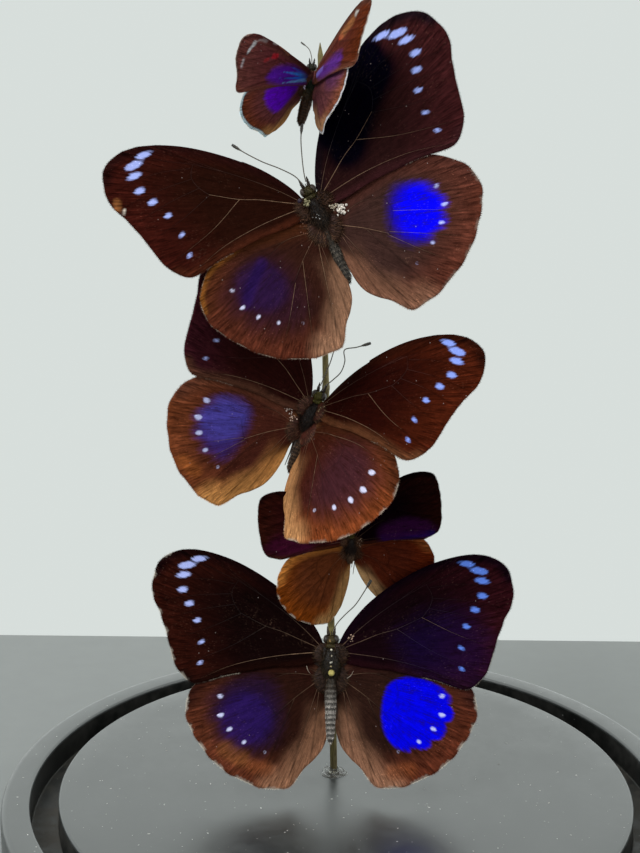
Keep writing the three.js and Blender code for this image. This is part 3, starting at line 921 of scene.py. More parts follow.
def curve_through(points, count, closed=False):
    """count points, evenly spaced along the smooth curve through the given ones."""
    p = np.asarray(points, float)
    if closed:
        p0, p1, p2, p3 = np.roll(p, 1, 0), p, np.roll(p, -1, 0), np.roll(p, -2, 0)
    else:
        ext = np.concatenate([[2 * p[0] - p[1]], p, [2 * p[-1] - p[-2]]])
        p0, p1, p2, p3 = ext[:-3], ext[1:-2], ext[2:-1], ext[3:]
    d0, d1, d2 = (np.linalg.norm(b - a, axis=1, keepdims=True) ** 0.5
                  for a, b in ((p0, p1), (p1, p2), (p2, p3)))
    t1 = ((p1 - p0) / d0 - (p2 - p0) / (d0 + d1) + (p2 - p1) / d1) * d1
    t2 = ((p2 - p1) / d1 - (p3 - p1) / (d1 + d2) + (p3 - p2) / d2) * d1
    t = np.linspace(0, 1, 24, endpoint=False)[None, :, None]
    a, b, u, v = p1[:, None], p2[:, None], t1[:, None], t2[:, None]
    spans = a + u * t + (3 * (b - a) - 2 * u - v) * t**2 + (2 * (a - b) + u + v) * t**3
    line = np.concatenate([spans.reshape(-1, p.shape[1]), [p[0] if closed else p[-1]]])
    steps = np.concatenate([[0], np.cumsum(np.linalg.norm(np.diff(line, axis=0), axis=1))])
    where = np.linspace(0, steps[-1], count, endpoint=not closed)
    return np.stack([np.interp(where, steps, line[:, k]) for k in range(p.shape[1])], 1)


def distance_to(points, line, closed=False):
    """Distance from each 2-D point to a line of points, and where it is met."""
    line = np.asarray(line, float)
    a = line if closed else line[:-1]
    b = np.roll(line, -1, 0) if closed else line[1:]
    ab = b - a
    t = np.einsum("nmk,mk->nm", points[:, None] - a[None], ab) / (ab**2).sum(1)
    t = np.clip(t, 0, 1)
    gap = np.linalg.norm(points[:, None] - (a[None] + t[..., None] * ab[None]), axis=2)
    best = gap.argmin(1)
    rows = np.arange(len(points))
    return gap[rows, best], (best + t[rows, best]) / len(a)


def inside(points, line):
    """Which 2-D points lie inside a closed line."""
    a, b = np.asarray(line, float), np.roll(line, -1, 0)
    x, y = points[:, :1], points[:, 1:]
    crosses = (a[:, 1] > y) != (b[:, 1] > y)
    rise = np.where(b[:, 1] == a[:, 1], 1e-9, b[:, 1] - a[:, 1])
    at = a[:, 0] + (y - a[:, 1]) / rise * (b[:, 0] - a[:, 0])
    return (crosses & (x < at)).sum(1) % 2 == 1


def angles_of(sides):
    """The angles of evenly spaced points on a circle."""
    return np.arange(sides) * 2 * np.pi / sides


def ring_faces(rings, sides):
    """The quads between rings of points that follow one another."""
    faces = []
    for low in range(0, (rings - 1) * sides, sides):
        for j in range(sides):
            k = (j + 1) % sides
            faces.append([low + j, low + k, low + sides + k, low + sides + j])
    return faces


def closed_faces(rings, sides):
    """The same quads with a flat face at either end."""
    last = (rings - 1) * sides
    return [*ring_faces(rings, sides), list(range(sides))[::-1], [last + j for j in range(sides)]]


def tube(path, radii, sides):
    """A closed round tube along a path, with a radius at each point."""
    path = np.asarray(path, float)
    radii = np.broadcast_to(radii, len(path))
    along = np.gradient(path, axis=0)
    along /= np.linalg.norm(along, axis=1, keepdims=True)
    side = np.cross(along[0], (0.31, 0.77, 0.56))
    points, angle = [], angles_of(sides)
    for centre, ahead, radius in zip(path, along, radii):
        side = side - ahead * np.dot(side, ahead)
        side /= np.linalg.norm(side)
        up = np.cross(ahead, side)
        spokes = np.outer(np.cos(angle), side) + np.outer(np.sin(angle), up)
        points.append(centre + radius * spokes)
    return np.concatenate(points), closed_faces(len(path), sides)


def turned(stations, sides):
    """A closed shell of rings along Z, from (height, half width, half depth)."""
    stations = np.asarray(stations, float)
    angle = angles_of(sides)
    rings = [np.stack([rx * np.cos(angle), ry * np.sin(angle), np.full(sides, z)], 1)
             for z, rx, ry in stations[1:-1]]
    n = len(rings)
    rising = stations[-1, 0] > stations[0, 0]
    faces = [face if rising else face[::-1] for face in ring_faces(n, sides)]
    first, last = n * sides, n * sides + 1
    ends = [(0, 0, stations[0, 0]), (0, 0, stations[-1, 0])]
    for j in range(sides):
        k = (j + 1) % sides
        low, high = [first, k, j], [last, (n - 1) * sides + j, (n - 1) * sides + k]
        faces += [low, high] if rising else [low[::-1], high[::-1]]
    return np.concatenate([*rings, ends]), faces


def ball(centre, radii, sides=16, rings=10):
    """A closed ellipsoid."""
    polar = np.linspace(0, np.pi, rings + 1)
    stations = [(-np.cos(p), max(np.sin(p), 0), max(np.sin(p), 0)) for p in polar]
    points, faces = turned(stations, sides)
    return points * np.asarray(radii) + np.asarray(centre), faces


# ------------------------------------------------------------- placement


def body_pose(bug):
    """How a butterfly's own frame is turned in the part's frame."""
    return turn("Y", bug["tilt"]) @ turn("X", bug["pitch"]) @ turn("Z", bug["yaw"])


def body_to_part(bug, points):
    """Points of a butterfly's own frame in the part's frame, in millimetres."""
    return np.asarray(points, float) @ body_pose(bug).T + bug["at"] + (0, 0, BASE["thickness"])


def wing_to_body(bug, wing, side, points, lift=0.0):
    """Points of a wing's template laid in its butterfly's own frame."""
    kind, scale, pose = bug["kind"], bug["scale"], bug[side]
    sign = -1 if side == "left" else 1
    p = np.asarray(points, float) * scale
    sweep = math.radians(pose[wing])
    out = p[:, 0] * math.cos(sweep) - p[:, 1] * math.sin(sweep) + kind["hinge"]["out"] * scale
    fore = p[:, 0] * math.sin(sweep) + p[:, 1] * math.cos(sweep) + kind["hinge"][wing] * scale
    rise = pose["bow"] * (out / BOW_REACH) ** 2 + lift
    if wing == "hindwing":
        rise = rise - HINDWING_DROP
    local = np.stack([sign * out, -rise, fore], 1)
    return local @ (turn("Z", -sign * pose["raise"]) @ turn("X", pose["twist"])).T


def wing_to_part(bug, wing, side, points, lift=0.0):
    """Points of a wing's template laid in the part's frame."""
    return body_to_part(bug, wing_to_body(bug, wing, side, points, lift))


# ------------------------------------------------------------------- wings


class WingPlan:
    """A wing's outline, the shares of any point in it, its veins and its triangles."""

    ROOTS = {"forewing": (-1.6, 0.4), "hindwing": (-2.2, -0.6)}
    STEPS = 900

    def __init__(self, kind, wing):
        self.kind, self.wing, self.size, self.made = kind, wing, kind["size"], None
        self.root = np.array(self.ROOTS[wing]) * self.size
        corners = kind["corners"][wing]
        control = np.asarray(kind[wing], float)
        line = curve_through(control, self.STEPS, closed=True)
        marks = [int(np.linalg.norm(line - control[i], axis=1).argmin()) for i in corners]
        self.edge = line[: marks[2] + 1]
        self.share = np.interp(np.arange(marks[2] + 1), [0, *marks], [0, 1 / 3, 2 / 3, 1])
        self.outline = line
        away = self.edge - self.root
        angle = np.unwrap(np.arctan2(away[:, 1], away[:, 0]))
        self.angle = np.minimum.accumulate(angle - np.arange(len(angle)) * 1e-7)
        drawn = VEINS[wing] if kind is LARGE else self.borrowed_veins()
        self.veins = [curve_through(vein, max(4, int(self.length(vein) / kind["spacing"])))
                      for vein in drawn]

    @staticmethod
    def length(path):
        return np.linalg.norm(np.diff(np.asarray(path, float), axis=0), axis=1).sum()

    def shares(self, points):
        """Where the ray through each point meets the edge, and how far along it the point is."""
        away = np.asarray(points, float) - self.root
        angle = np.arctan2(away[:, 1], away[:, 0])
        angle = np.where(angle > 2.2, angle - 2 * np.pi, angle)
        w = np.interp(-angle, -self.angle, self.share)
        reach = np.linalg.norm(self.edge_at(w) - self.root, axis=1)
        return w, np.linalg.norm(away, axis=1) / reach

    def edge_at(self, w):
        return np.stack([np.interp(w, self.share, self.edge[:, k]) for k in (0, 1)], 1)

    def borrowed_veins(self):
        large = plan_of(LARGE, self.wing)
        drawn = []
        for vein in large.veins:
            w, f = large.shares(vein)
            drawn.append(self.root + (self.edge_at(w) - self.root) * f[:, None])
        return drawn

    def side_line(self, low, high):
        chosen = (self.share >= low) & (self.share <= high)
        return self.edge[chosen][::6]

    def scalloped(self):
        """The outline, drawn in a little between the ends of the veins."""
        count = int(self.length(self.outline) / self.kind["spacing"] / 0.85)
        line = curve_through(self.outline[::8], count, closed=True)
        w, _ = self.shares(line)
        ends = np.array([v[-1] for v in self.veins])
        gap = np.linalg.norm(line[:, None] - ends[None], axis=2).min(1)
        outer = smooth(0.24, 0.34, w) * (1 - smooth(0.72, 0.8, w))
        depth = (0.24 if self.wing == "hindwing" else 0.14) * self.size
        ahead = np.roll(line, -1, 0) - np.roll(line, 1, 0)
        inward = np.stack([ahead[:, 1], -ahead[:, 0]], 1)
        inward /= np.linalg.norm(inward, axis=1, keepdims=True)
        pull = depth * outer * (1 - np.exp(-((gap / (1.5 * self.size)) ** 2)))
        return line + inward * pull[:, None]

    def mesh(self):
        """Points, triangles and each point's distance to a vein, worked out once."""
        if self.made is None:
            points, triangles = self.triangles()
            self.made = points, triangles, vein_distance(self, points)
        return self.made

    def triangles(self):
        """Points and triangles, with the margin and the veins along their edges."""
        spacing = self.kind["spacing"]
        rim = self.scalloped()
        points = [rim]
        edges = [(i, (i + 1) % len(rim)) for i in range(len(rim))]
        count = len(rim)
        keep = []
        for vein in self.veins:
            gap, _ = distance_to(vein, rim, closed=True)
            good = inside(vein, rim) & (gap > 0.4 * spacing)
            chosen = vein[good]
            if len(chosen) < 2:
                continue
            edges += [(count + i, count + i + 1) for i in range(len(chosen) - 1)]
            points.append(chosen)
            keep.append(chosen)
            count += len(chosen)
        for x, y, long, wide, angle in SPOTS[self.wing] if self.kind is LARGE else ():
            ray = math.radians(angle)
            t = angles_of(14)
            ring = np.stack([long * np.cos(t), wide * np.sin(t)], 1) @ np.array(
                [[math.cos(ray), math.sin(ray)], [-math.sin(ray), math.cos(ray)]])
            ring = ring + (x, y)
            near, _ = distance_to(ring, rim, closed=True)
            ring = ring[inside(ring, rim) & (near > 0.3 * spacing)]
            points.append(ring)
            keep.append(ring)
            count += len(ring)
        low, high = rim.min(0), rim.max(0)
        xs = np.arange(low[0], high[0], spacing)
        ys = np.arange(low[1], high[1], spacing * 0.866)
        gx, gy = np.meshgrid(xs, ys)
        gx = gx + (np.arange(len(ys)) % 2)[:, None] * spacing / 2
        lattice = np.stack([gx.ravel(), gy.ravel()], 1)
        gap, _ = distance_to(lattice, rim, closed=True)
        lattice = lattice[inside(lattice, rim) & (gap > 0.5 * spacing)]
        taken = np.concatenate(keep)
        nearest = np.concatenate([
            np.linalg.norm(part[:, None] - taken[None], axis=2).min(1)
            for part in np.array_split(lattice, 12)])
        points.append(lattice[nearest > 0.5 * spacing])
        flat = np.concatenate(points)
        face = [list(range(len(rim)))[::-1]]
        coords, _, tris, *_ = delaunay_2d_cdt([Vector(p) for p in flat], edges, face, 1, 1e-6)
        coords, tris = np.array(coords), np.array(tris)
        a, b, c = (coords[tris[:, k]] for k in range(3))
        ab, ac = b - a, c - a
        area = ab[:, 0] * ac[:, 1] - ab[:, 1] * ac[:, 0]
        tris[area < 0] = tris[area < 0][:, ::-1]
        return coords, tris[np.abs(area) > 1e-9]


PLANS = {}


def plan_of(kind, wing):
    key = (id(kind), wing)
    if key not in PLANS:
        PLANS[key] = WingPlan(kind, wing)
    return PLANS[key]


def vein_distance(plan, points):
    gaps = [distance_to(points, vein)[0] for vein in plan.veins]
    return np.min(gaps, axis=0)


def spot_depth(plan, points, swell):
    """How far inside a spot each point is, in millimetres; less than 0 outside."""
    depth = np.full(len(points), -5.0)
    if plan.kind is not LARGE:
        return depth
    for x, y, long, wide, angle in SPOTS[plan.wing]:
        ray = math.radians(angle)
        d = points - (x, y)
        u = (d[:, 0] * math.cos(ray) + d[:, 1] * math.sin(ray)) / (long * swell)
        v = (d[:, 1] * math.cos(ray) - d[:, 0] * math.sin(ray)) / (wide * swell)
        depth = np.maximum(depth, (1 - np.sqrt(u**2 + v**2)) * wide * swell)
    return depth


def wing_lift(plan, points, vein, seed):
    """Folds between the veins, a slight wave of the margin, and the inner fold."""
    settings = bpy.context.scene.butterfly_wings
    w, f = plan.shares(points)
    size = plan.size
    relief = settings.relief / MM * size**0.5
    fold = -relief * smooth(0, 1.7 * size, vein)
    wave = 0.28 * size * np.sin(2 * np.pi * (3.3 * w + 0.37 * seed)) * smooth(0.55, 1, f)
    lift = fold + wave
    if plan.wing == "hindwing":
        inner, _ = distance_to(points, plan.side_line(0.68, 1))
        lift = lift - 1.3 * size * (1 - smooth(0, 5.5 * size, inner)) * smooth(0.1, 0.4, f)
    return lift


def paint_ground(paint, plan, points):
    """The wing's colours without its spots, its patch and its veins."""
    size, hind = plan.size, plan.wing == "hindwing"
    _, f = plan.shares(points)
    root, outer, front, inner = (np.array(linear(code)) for code in paint["ground"])
    # where the outer colour starts, and how far the front and inner colours reach
    reaches = (0.62, 5.5, 2.0, 7.5) if hind else (0.5, 3.2, 0.4, 3.0)
    start, front_reach, inner_clear, inner_reach = reaches
    to_front, _ = distance_to(points, plan.side_line(0, 0.34))
    to_inner, _ = distance_to(points, plan.side_line(0.64, 1))
    shade = blend(np.broadcast_to(root, (len(points), 3)), outer, smooth(start, 1, f))
    shade = blend(shade, front, 0.9 * (1 - smooth(0.6 * size, front_reach * size, to_front)))
    inner_share = 1 - smooth(inner_clear * size, inner_reach * size, to_inner)
    shade = blend(shade, inner, 0.95 * inner_share * smooth(0.18, 0.5, f))
    white = paint.get("white", 0)
    if white > 0.3 and "band" not in paint:
        rim, _ = distance_to(points, plan.side_line(0.3, 0.7))
        between = smooth(1.3 * size, 2.2 * size, vein_distance(plan, points))
        shade = blend(shade, linear("#d0c6b8"), white * between * (1 - smooth(0.08, 0.36, rim)))
    if "band" in paint:
        start, end, wide, code = paint["band"]
        rim, _ = distance_to(points, plan.side_line(start, end))
        shade = blend(shade, linear("#1c120f"), 0.6 * (1 - smooth(wide, wide + 0.35, rim)))
        shade = blend(shade, linear(code), 1 - smooth(wide * 0.6, wide, rim))
    return brushed(shade, points, paint.get("strokes", ()))


def rubbed_share(paint, points):
    """How far the scales are rubbed off at each point."""
    share = np.zeros(len(points))
    for path, half, soft in paint.get("rubbed", ()):
        gap, _ = distance_to(points, curve_through(path, 10))
        share = np.maximum(share, 1 - smooth(half, half + soft, gap))
    return share


def brushed(shade, points, strokes):
    """Colours with strokes laid over them."""
    for path, half, soft, code, strength in strokes:
        gap, along = distance_to(points, curve_through(path, 12))
        start, end = half if isinstance(half, tuple) else (half, half)
        thin = 1 + (end / start - 1) * along
        share = strength * (1 - smooth(start * thin, (start + soft) * thin, gap))
        shade = blend(shade, linear(code), share)
    return shade


def paint_whole(paint, plan, points):
    """The ground with its patch over it."""
    depth, hue, strength = paint_patch(paint, plan, points)
    return blend(paint_ground(paint, plan, points), hue, smooth(-1, 1, depth) * strength)


def paint_patch(paint, plan, points):
    """Depth inside the wing's patch over its softness, and its colour and strength."""
    if "patch" not in paint:
        return np.full(len(points), -9.0), np.zeros((len(points), 3)), np.zeros(len(points))
    path, soft, code, strength, *dim = paint["patch"]
    line = curve_through(path, 60, closed=True)
    gap, _ = distance_to(points, line, closed=True)
    _, f = plan.shares(points)
    lobes = np.exp(-((vein_distance(plan, points) / (0.8 * plan.size)) ** 2)) * smooth(0.55, 0.8, f)
    depth = (np.where(inside(points, line), gap, -gap) - 1.1 * plan.size * lobes) / soft
    hue = np.broadcast_to(linear(code), (len(points), 3))
    # a patch that dims fades from its bright middle to its dim colour: a painted falloff of its
    # sheen
    if dim:
        core, reach, dim_code = dim
        far = np.linalg.norm(points - core, axis=1)
        hue = blend(hue, linear(dim_code), smooth(0.55 * reach, reach, far))
    hue = brushed(hue, points, paint.get("rays", ()))
    return depth, hue, np.full(len(points), strength)


def build_wing(name, wing, side, seed, materials):
    """One wing: upper and under side with their folds, closed round the margin."""
    bug = BUTTERFLIES[name]
    paint = WING_PAINT[f"{name}_{wing}_{side}"]
    plan = plan_of(bug["kind"], wing)
    points, tris, vein = plan.mesh()
    settings = bpy.context.scene.butterfly_wings
    half = settings.membrane / MM / 2
    lift = wing_lift(plan, points, vein, seed)
    w, f = plan.shares(points)
    rim, _ = distance_to(points, plan.side_line(0, 1))
    swell, blue = paint.get("spots", (1.0, 0.5))
    patch, patch_hue, patch_share = paint_patch(paint, plan, points)
    upper = wing_to_part(bug, wing, side, points, lift + half)
    under = wing_to_part(bug, wing, side, points, lift - half)
    count = len(points)
    if side == "left":
        tris = tris[:, ::-1]
    pairs = np.concatenate([tris[:, [0, 1]], tris[:, [1, 2]], tris[:, [2, 0]]])
    known = set(map(tuple, pairs.tolist()))
    rims = [(a, b) for a, b in known if (b, a) not in known]
    faces = tris.tolist() + (tris[:, ::-1] + count).tolist()
    faces += [[b, a, a + count, b + count] for a, b in rims]
    slots = [0] * len(tris) + [1] * len(tris) + [0] * len(rims)
    colours = {"ground": paint_ground(paint, plan, points), "patch_hue": patch_hue}
    values = {
        "vein": vein, "rim": rim, "patch": patch, "patch_share": patch_share,
        "spot": spot_depth(plan, points, swell), "spot_blue": np.full(count, blue),
        "rubbed": rubbed_share(paint, points),
    }
    piece = new_piece(
        f"{name}_{wing}_{side}_scales", np.concatenate([upper, under]), faces, materials,
        slots=slots,
        colours={key: np.concatenate([data, data]) for key, data in colours.items()},
        values={key: np.concatenate([data, data]) for key, data in values.items()},
        uv=np.tile(np.stack([w, f], 1), (2, 1)))
    return settle(piece, bug["kind"]["slot"], f"{name}_{wing}_{side}")


def wing_upper_material():
    settings = bpy.context.scene.butterfly_wings
    material, make, shader = new_material("wing scales", 0.62, Specular_IOR_Level=0.004)
    where = object_coordinates(make)
    uv = wing_coordinates(make)
    streaks = make.group(shader_group("Scale rows"), UV=uv).outputs
    grain = grain_over(make, where, 900.0)
    ground = make.hue("ground")
    vein = make.value("vein")
    level = make.plus(make.times(streaks["Fine"], 1.1), make.times(grain, 0.9))
    level = make.plus(level, make.times(streaks["Broad"], 0.6))
    level = make.ramp(level, 0.75, 1.85, 0.45, 1.55)
    shade = make.shaded(ground, level)
    # worn rows of scales towards the margin
    far = make.add("ShaderNodeSeparateXYZ", {0: uv}).outputs[1]
    worn = make.times(make.ramp(streaks["Fine"], 0.5, 0.68), make.ramp(far, 0.72, 0.98))
    worn = make.times(worn, make.ramp(streaks["Broad"], 0.35, 0.65, 0.25, 1.0))
    shade = make.mix(make.times(worn, 0.6), shade, make.filtered(shade, (2.1, 2.1, 2.1)))
    dark = make.times(make.ramp(streaks["Fine"], 0.46, 0.32), make.ramp(far, 0.6, 0.9))
    shade = make.mix(make.times(dark, 0.6), shade, make.filtered(shade, (0.3, 0.25, 0.25)))
    # the patch, with its edge frayed along the rows of scales; on the large hindwings and the dark
    # forewings it is painted sheen
    frayed = make.plus(make.value("patch"),
                       make.times(make.math("SUBTRACT", streaks["Fine"], 0.5), 1.9))
    patch = make.times(make.ramp(frayed, -1.0, 1.0), make.value("patch_share"))
    patch = make.times(patch, make.ramp(level, 0.55, 0.95, 0.55, 1.0))
    rows = make.ramp(level, 0.6, 1.4, 0.74, 1.16)
    shade = make.mix(patch, shade, make.shaded(make.hue("patch_hue"), rows))
    # a dark seam along each vein
    line = make.times(make.ramp(vein, 0.08, 0.34, 0.45, 0.0),
                     make.math("SUBTRACT", 1.0, make.times(patch, 0.55)))
    shade = make.mix(line, shade, make.filtered(shade, (0.35, 0.35, 0.35)))
    # spots, frayed as well
    spot = make.plus(make.value("spot"),
                     make.times(make.math("SUBTRACT", streaks["Fine"], 0.5), 0.9))
    spot_hue = make.mix(make.value("spot_blue"), tuple(settings.spot_white),
                        tuple(settings.spot_blue))
    shade = make.mix(make.times(make.ramp(spot, -0.2, 0.3), 0.92), shade, spot_hue)
    # rubbed places, loose scales and dust
    bare = make.times(make.ramp(make.noise(where, 1500.0, 4.0, 0.75), 0.54, 0.72),
                     make.ramp(make.noise(where, 330.0, 2.0, 0.6), 0.44, 0.62))
    bare = make.times(bare, make.value("rubbed"))
    shade = make.mix(make.times(bare, 0.5), shade,
                     make.mix(0.6, (0.3, 0.18, 0.12), make.filtered(shade, (3.2, 2.8, 2.5))))
    loose = make.group(shader_group("Loose flecks"), Vector=where, UV=uv).outputs[0]
    shade = make.mix(make.times(loose, 0.6), shade,
                     make.mix(0.85, (0.4, 0.27, 0.19), make.filtered(shade, (4.5, 4.0, 3.6))))
    specks = specks_over(make, where, 1300.0, 0.17, 0.026)
    shade = make.mix(make.times(specks, 0.6), shade, (0.5, 0.42, 0.4))
    make.put(shader["Base Color"], shade)
    height = make.plus(make.times(streaks["Fine"], 0.7), grain)
    make.put(shader["Normal"], bump(make, height, 0.35, 0.0001))
    return material


def wing_under_material():
    settings = bpy.context.scene.butterfly_wings
    material, make, shader = new_material("wing underside", 0.7, Specular_IOR_Level=0.08)
    where = object_coordinates(make)
    uv = wing_coordinates(make)
    streaks = make.group(shader_group("Scale rows"), UV=uv, Across=150.0, Along=5.0).outputs
    grain = grain_over(make, where, 420.0)
    vein = make.value("vein")
    main = Vector(settings.under)
    dark, pale = tuple(main * 0.45), tuple(main * 1.7)
    ground = make.hue("ground")
    shade = make.mix(make.ramp(grain, 0.38, 0.62), dark, tuple(main))
    shade = make.mix(make.ramp(streaks["Broad"], 0.45, 0.7), shade, pale)
    shade = make.mix(0.35, shade, ground)
    shade = make.mix(make.ramp(streaks["Fine"], 0.4, 0.8, 0.0, 0.5), shade, dark)
    shade = make.mix(make.ramp(vein, 0.06, 0.3, 0.6, 0.0), shade, pale)
    spot = make.ramp(make.value("spot"), -0.1, 0.2)
    shade = make.mix(make.times(spot, 0.7), shade, tuple(settings.spot_white))
    make.put(shader["Base Color"], shade)
    make.put(shader["Normal"], bump(make, grain, 0.3, 0.0001))
    return material


def tint_material(name, roughness, spread=0.35, scale=900.0, **fixed):
    """A material that takes its colour from the tint of the mesh, with fine grain over it."""
    material, make, shader = new_material(name, roughness, **fixed)
    where = object_coordinates(make)
    grain = grain_over(make, where, scale)
    level = make.ramp(grain, 0.3, 0.7, 1 - spread, 1 + spread)
    make.put(shader["Base Color"], make.shaded(make.hue("tint"), level))
    make.put(shader["Normal"], bump(make, grain, 0.25, 0.00008))
    return material


# ---------------------------------------------------------- geometry trees


def growing_tree(name, inputs):
    """An empty geometry tree that takes a mesh, its own inputs and a material."""
    sockets = [("Geometry", "NodeSocketGeometry", None), *inputs,
               ("Material", "NodeSocketMaterial", None)]
    return new_group(name, "GeometryNodeTree", sockets, [("Geometry", "NodeSocketGeometry")])


def field(make, name, kind="FLOAT"):
    """A named attribute of the geometry."""
    return make.add("GeometryNodeInputNamedAttribute", {"Name": name}, data_type=kind).outputs[0]


def chance_between(make, low, high, seed):
    """A random number for each point."""
    node = make.add("FunctionNodeRandomValue", {2: low, 3: high, 8: seed}, data_type="FLOAT")
    return node.outputs[1]


def scatter(make, given):
    """Points strewn over a mesh; the attribute thick is a place's share of the density."""
    node = make.add("GeometryNodeDistributePointsOnFaces", {
        "Mesh": given["Geometry"], "Density": make.times(given["Density"], field(make, "thick")),
        "Seed": given["Seed"]})
    return node.outputs[0]


def place_on(make, points, shape, rotation, scale):
    """A shape on each point."""
    node = make.add("GeometryNodeInstanceOnPoints", {
        "Points": points, "Instance": shape, "Rotation": rotation, "Scale": scale})
    return node.outputs[0]


def close_tree(make, given, out, geometry):
    """Ends a tree: real geometry that wears the given material."""
    whole = make.add("GeometryNodeRealizeInstances", {0: geometry})
    dressed = make.add("GeometryNodeSetMaterial", {
        "Geometry": whole.outputs[0], "Material": given["Material"]})
    make.put(out["Geometry"], dressed.outputs[0])


def tube_tree():
    """Turns a mesh of edges into tubes; the attribute thick is their radius."""
    tree, make, given, out = growing_tree("Tubes on edges", [("Sides", "NodeSocketInt", 5)])
    path = make.add("GeometryNodeMeshToCurve", {"Mesh": given["Geometry"]})
    ring = make.add("GeometryNodeCurvePrimitiveCircle", {
        "Resolution": given["Sides"], "Radius": 1.0})
    skin = make.add("GeometryNodeCurveToMesh", {
        "Curve": path.outputs[0], "Profile Curve": ring.outputs[0],
        "Scale": field(make, "thick"), "Fill Caps": True})
    close_tree(make, given, out, skin.outputs[0])
    return tree


def spike(make, thickness, long):
    """A three-sided spike and its scale."""
    cone = make.add("GeometryNodeMeshCone", {
        "Vertices": 3, "Side Segments": 1, "Fill Segments": 1,
        "Radius Top": 0.0, "Radius Bottom": 1.0, "Depth": 1.0}, fill_type="NGON")
    scale = make.add("ShaderNodeCombineXYZ", {0: thickness, 1: thickness, 2: long})
    return cone.outputs[0], scale.outputs[0]


def fringe_tree():
    """A spike on each point, turned to the attribute aim; long is its length."""
    tree, make, given, out = growing_tree(
        "Fringe spikes", [("Thickness", "NodeSocketFloat", 0.00007)])
    cone, scale = spike(make, given["Thickness"], field(make, "long"))
    rotation = make.add("FunctionNodeAlignRotationToVector", {
        "Vector": field(make, "aim", "FLOAT_VECTOR")}, axis="Z")
    put = place_on(make, given["Geometry"], cone, rotation.outputs[0], scale)
    close_tree(make, given, out, put)
    return tree


def hair_tree():
    """Hairs strewn over a surface: aim is where they lie, long is how long they are."""
    tree, make, given, out = growing_tree("Combed hair", [
        ("Density", "NodeSocketFloat", 1e7), ("Thickness", "NodeSocketFloat", 0.00004),
        ("Tousle", "NodeSocketFloat", 0.3), ("Seed", "NodeSocketInt", 1)])
    scattered = scatter(make, given)
    jitter = make.add("FunctionNodeRandomValue", {
        0: (-1, -1, -1), 1: (1, 1, 1), 8: 3}, data_type="FLOAT_VECTOR").outputs[0]
    tousled = make.vector("SCALE", {0: jitter, "Scale": given["Tousle"]})
    ahead = make.vector("ADD", {0: field(make, "aim", "FLOAT_VECTOR"), 1: tousled})
    rotation = make.add("FunctionNodeAlignRotationToVector", {"Vector": ahead}, axis="Z")
    long = make.times(field(make, "long"), chance_between(make, 0.55, 1.1, 5))
    cone, scale = spike(make, given["Thickness"], long)
    # most hairs are dark, a few are much paler
    pale = make.math("POWER", chance_between(make, 0.0, 1.0, 11), 5.0)
    level = make.plus(0.45, make.times(pale, 5.0))
    levels = make.add("ShaderNodeCombineXYZ", {0: level, 1: level, 2: level}).outputs[0]
    mottled = make.vector("MULTIPLY", {0: field(make, "tint", "FLOAT_COLOR"), 1: levels})
    kept = make.add("GeometryNodeStoreNamedAttribute", {
        "Geometry": scattered, "Name": "tint", "Value": mottled},
        data_type="FLOAT_COLOR", domain="POINT")
    put = place_on(make, kept.outputs[0], cone, rotation.outputs[0], scale)
    close_tree(make, given, out, put)
    return tree


def speck_tree():
    """Small flat specks strewn over a surface."""
    tree, make, given, out = growing_tree("Scattered specks", [
        ("Density", "NodeSocketFloat", 1e4), ("Size", "NodeSocketFloat", 0.0002),
        ("Seed", "NodeSocketInt", 1)])
    scattered = scatter(make, given)
    shape = make.add("GeometryNodeMeshIcoSphere", {"Radius": 1.0, "Subdivisions": 1})
    small = make.times(make.math("POWER", chance_between(make, 0.25, 1.0, 9), 2.2), given["Size"])
    scale = make.add("ShaderNodeCombineXYZ", {
        0: make.times(small, chance_between(make, 0.8, 2.6, 4)), 1: small,
        2: make.times(small, 0.5)})
    spin = make.add("ShaderNodeCombineXYZ", {2: chance_between(make, 0.0, 6.28, 7)})
    rotation = make.add("FunctionNodeEulerToRotation", {0: spin.outputs[0]})
    put = place_on(make, scattered, shape.outputs[0], rotation.outputs[0], scale.outputs[0])
    close_tree(make, given, out, put)
    return tree


def tree_of(name):
    makers = {"Tubes on edges": tube_tree, "Fringe spikes": fringe_tree,
              "Combed hair": hair_tree, "Scattered specks": speck_tree}
    return bpy.data.node_groups.get(name) or makers[name]()


def material_of(name, maker, *values, **fixed):
    return bpy.data.materials.get(name) or maker(*values, **fixed)


def tinted(name, *values, **fixed):
    """The material of a piece whose points carry their own colour."""
    return material_of(name, tint_material, name, *values, **fixed)


# ------------------------------------------------------- veins and fringe


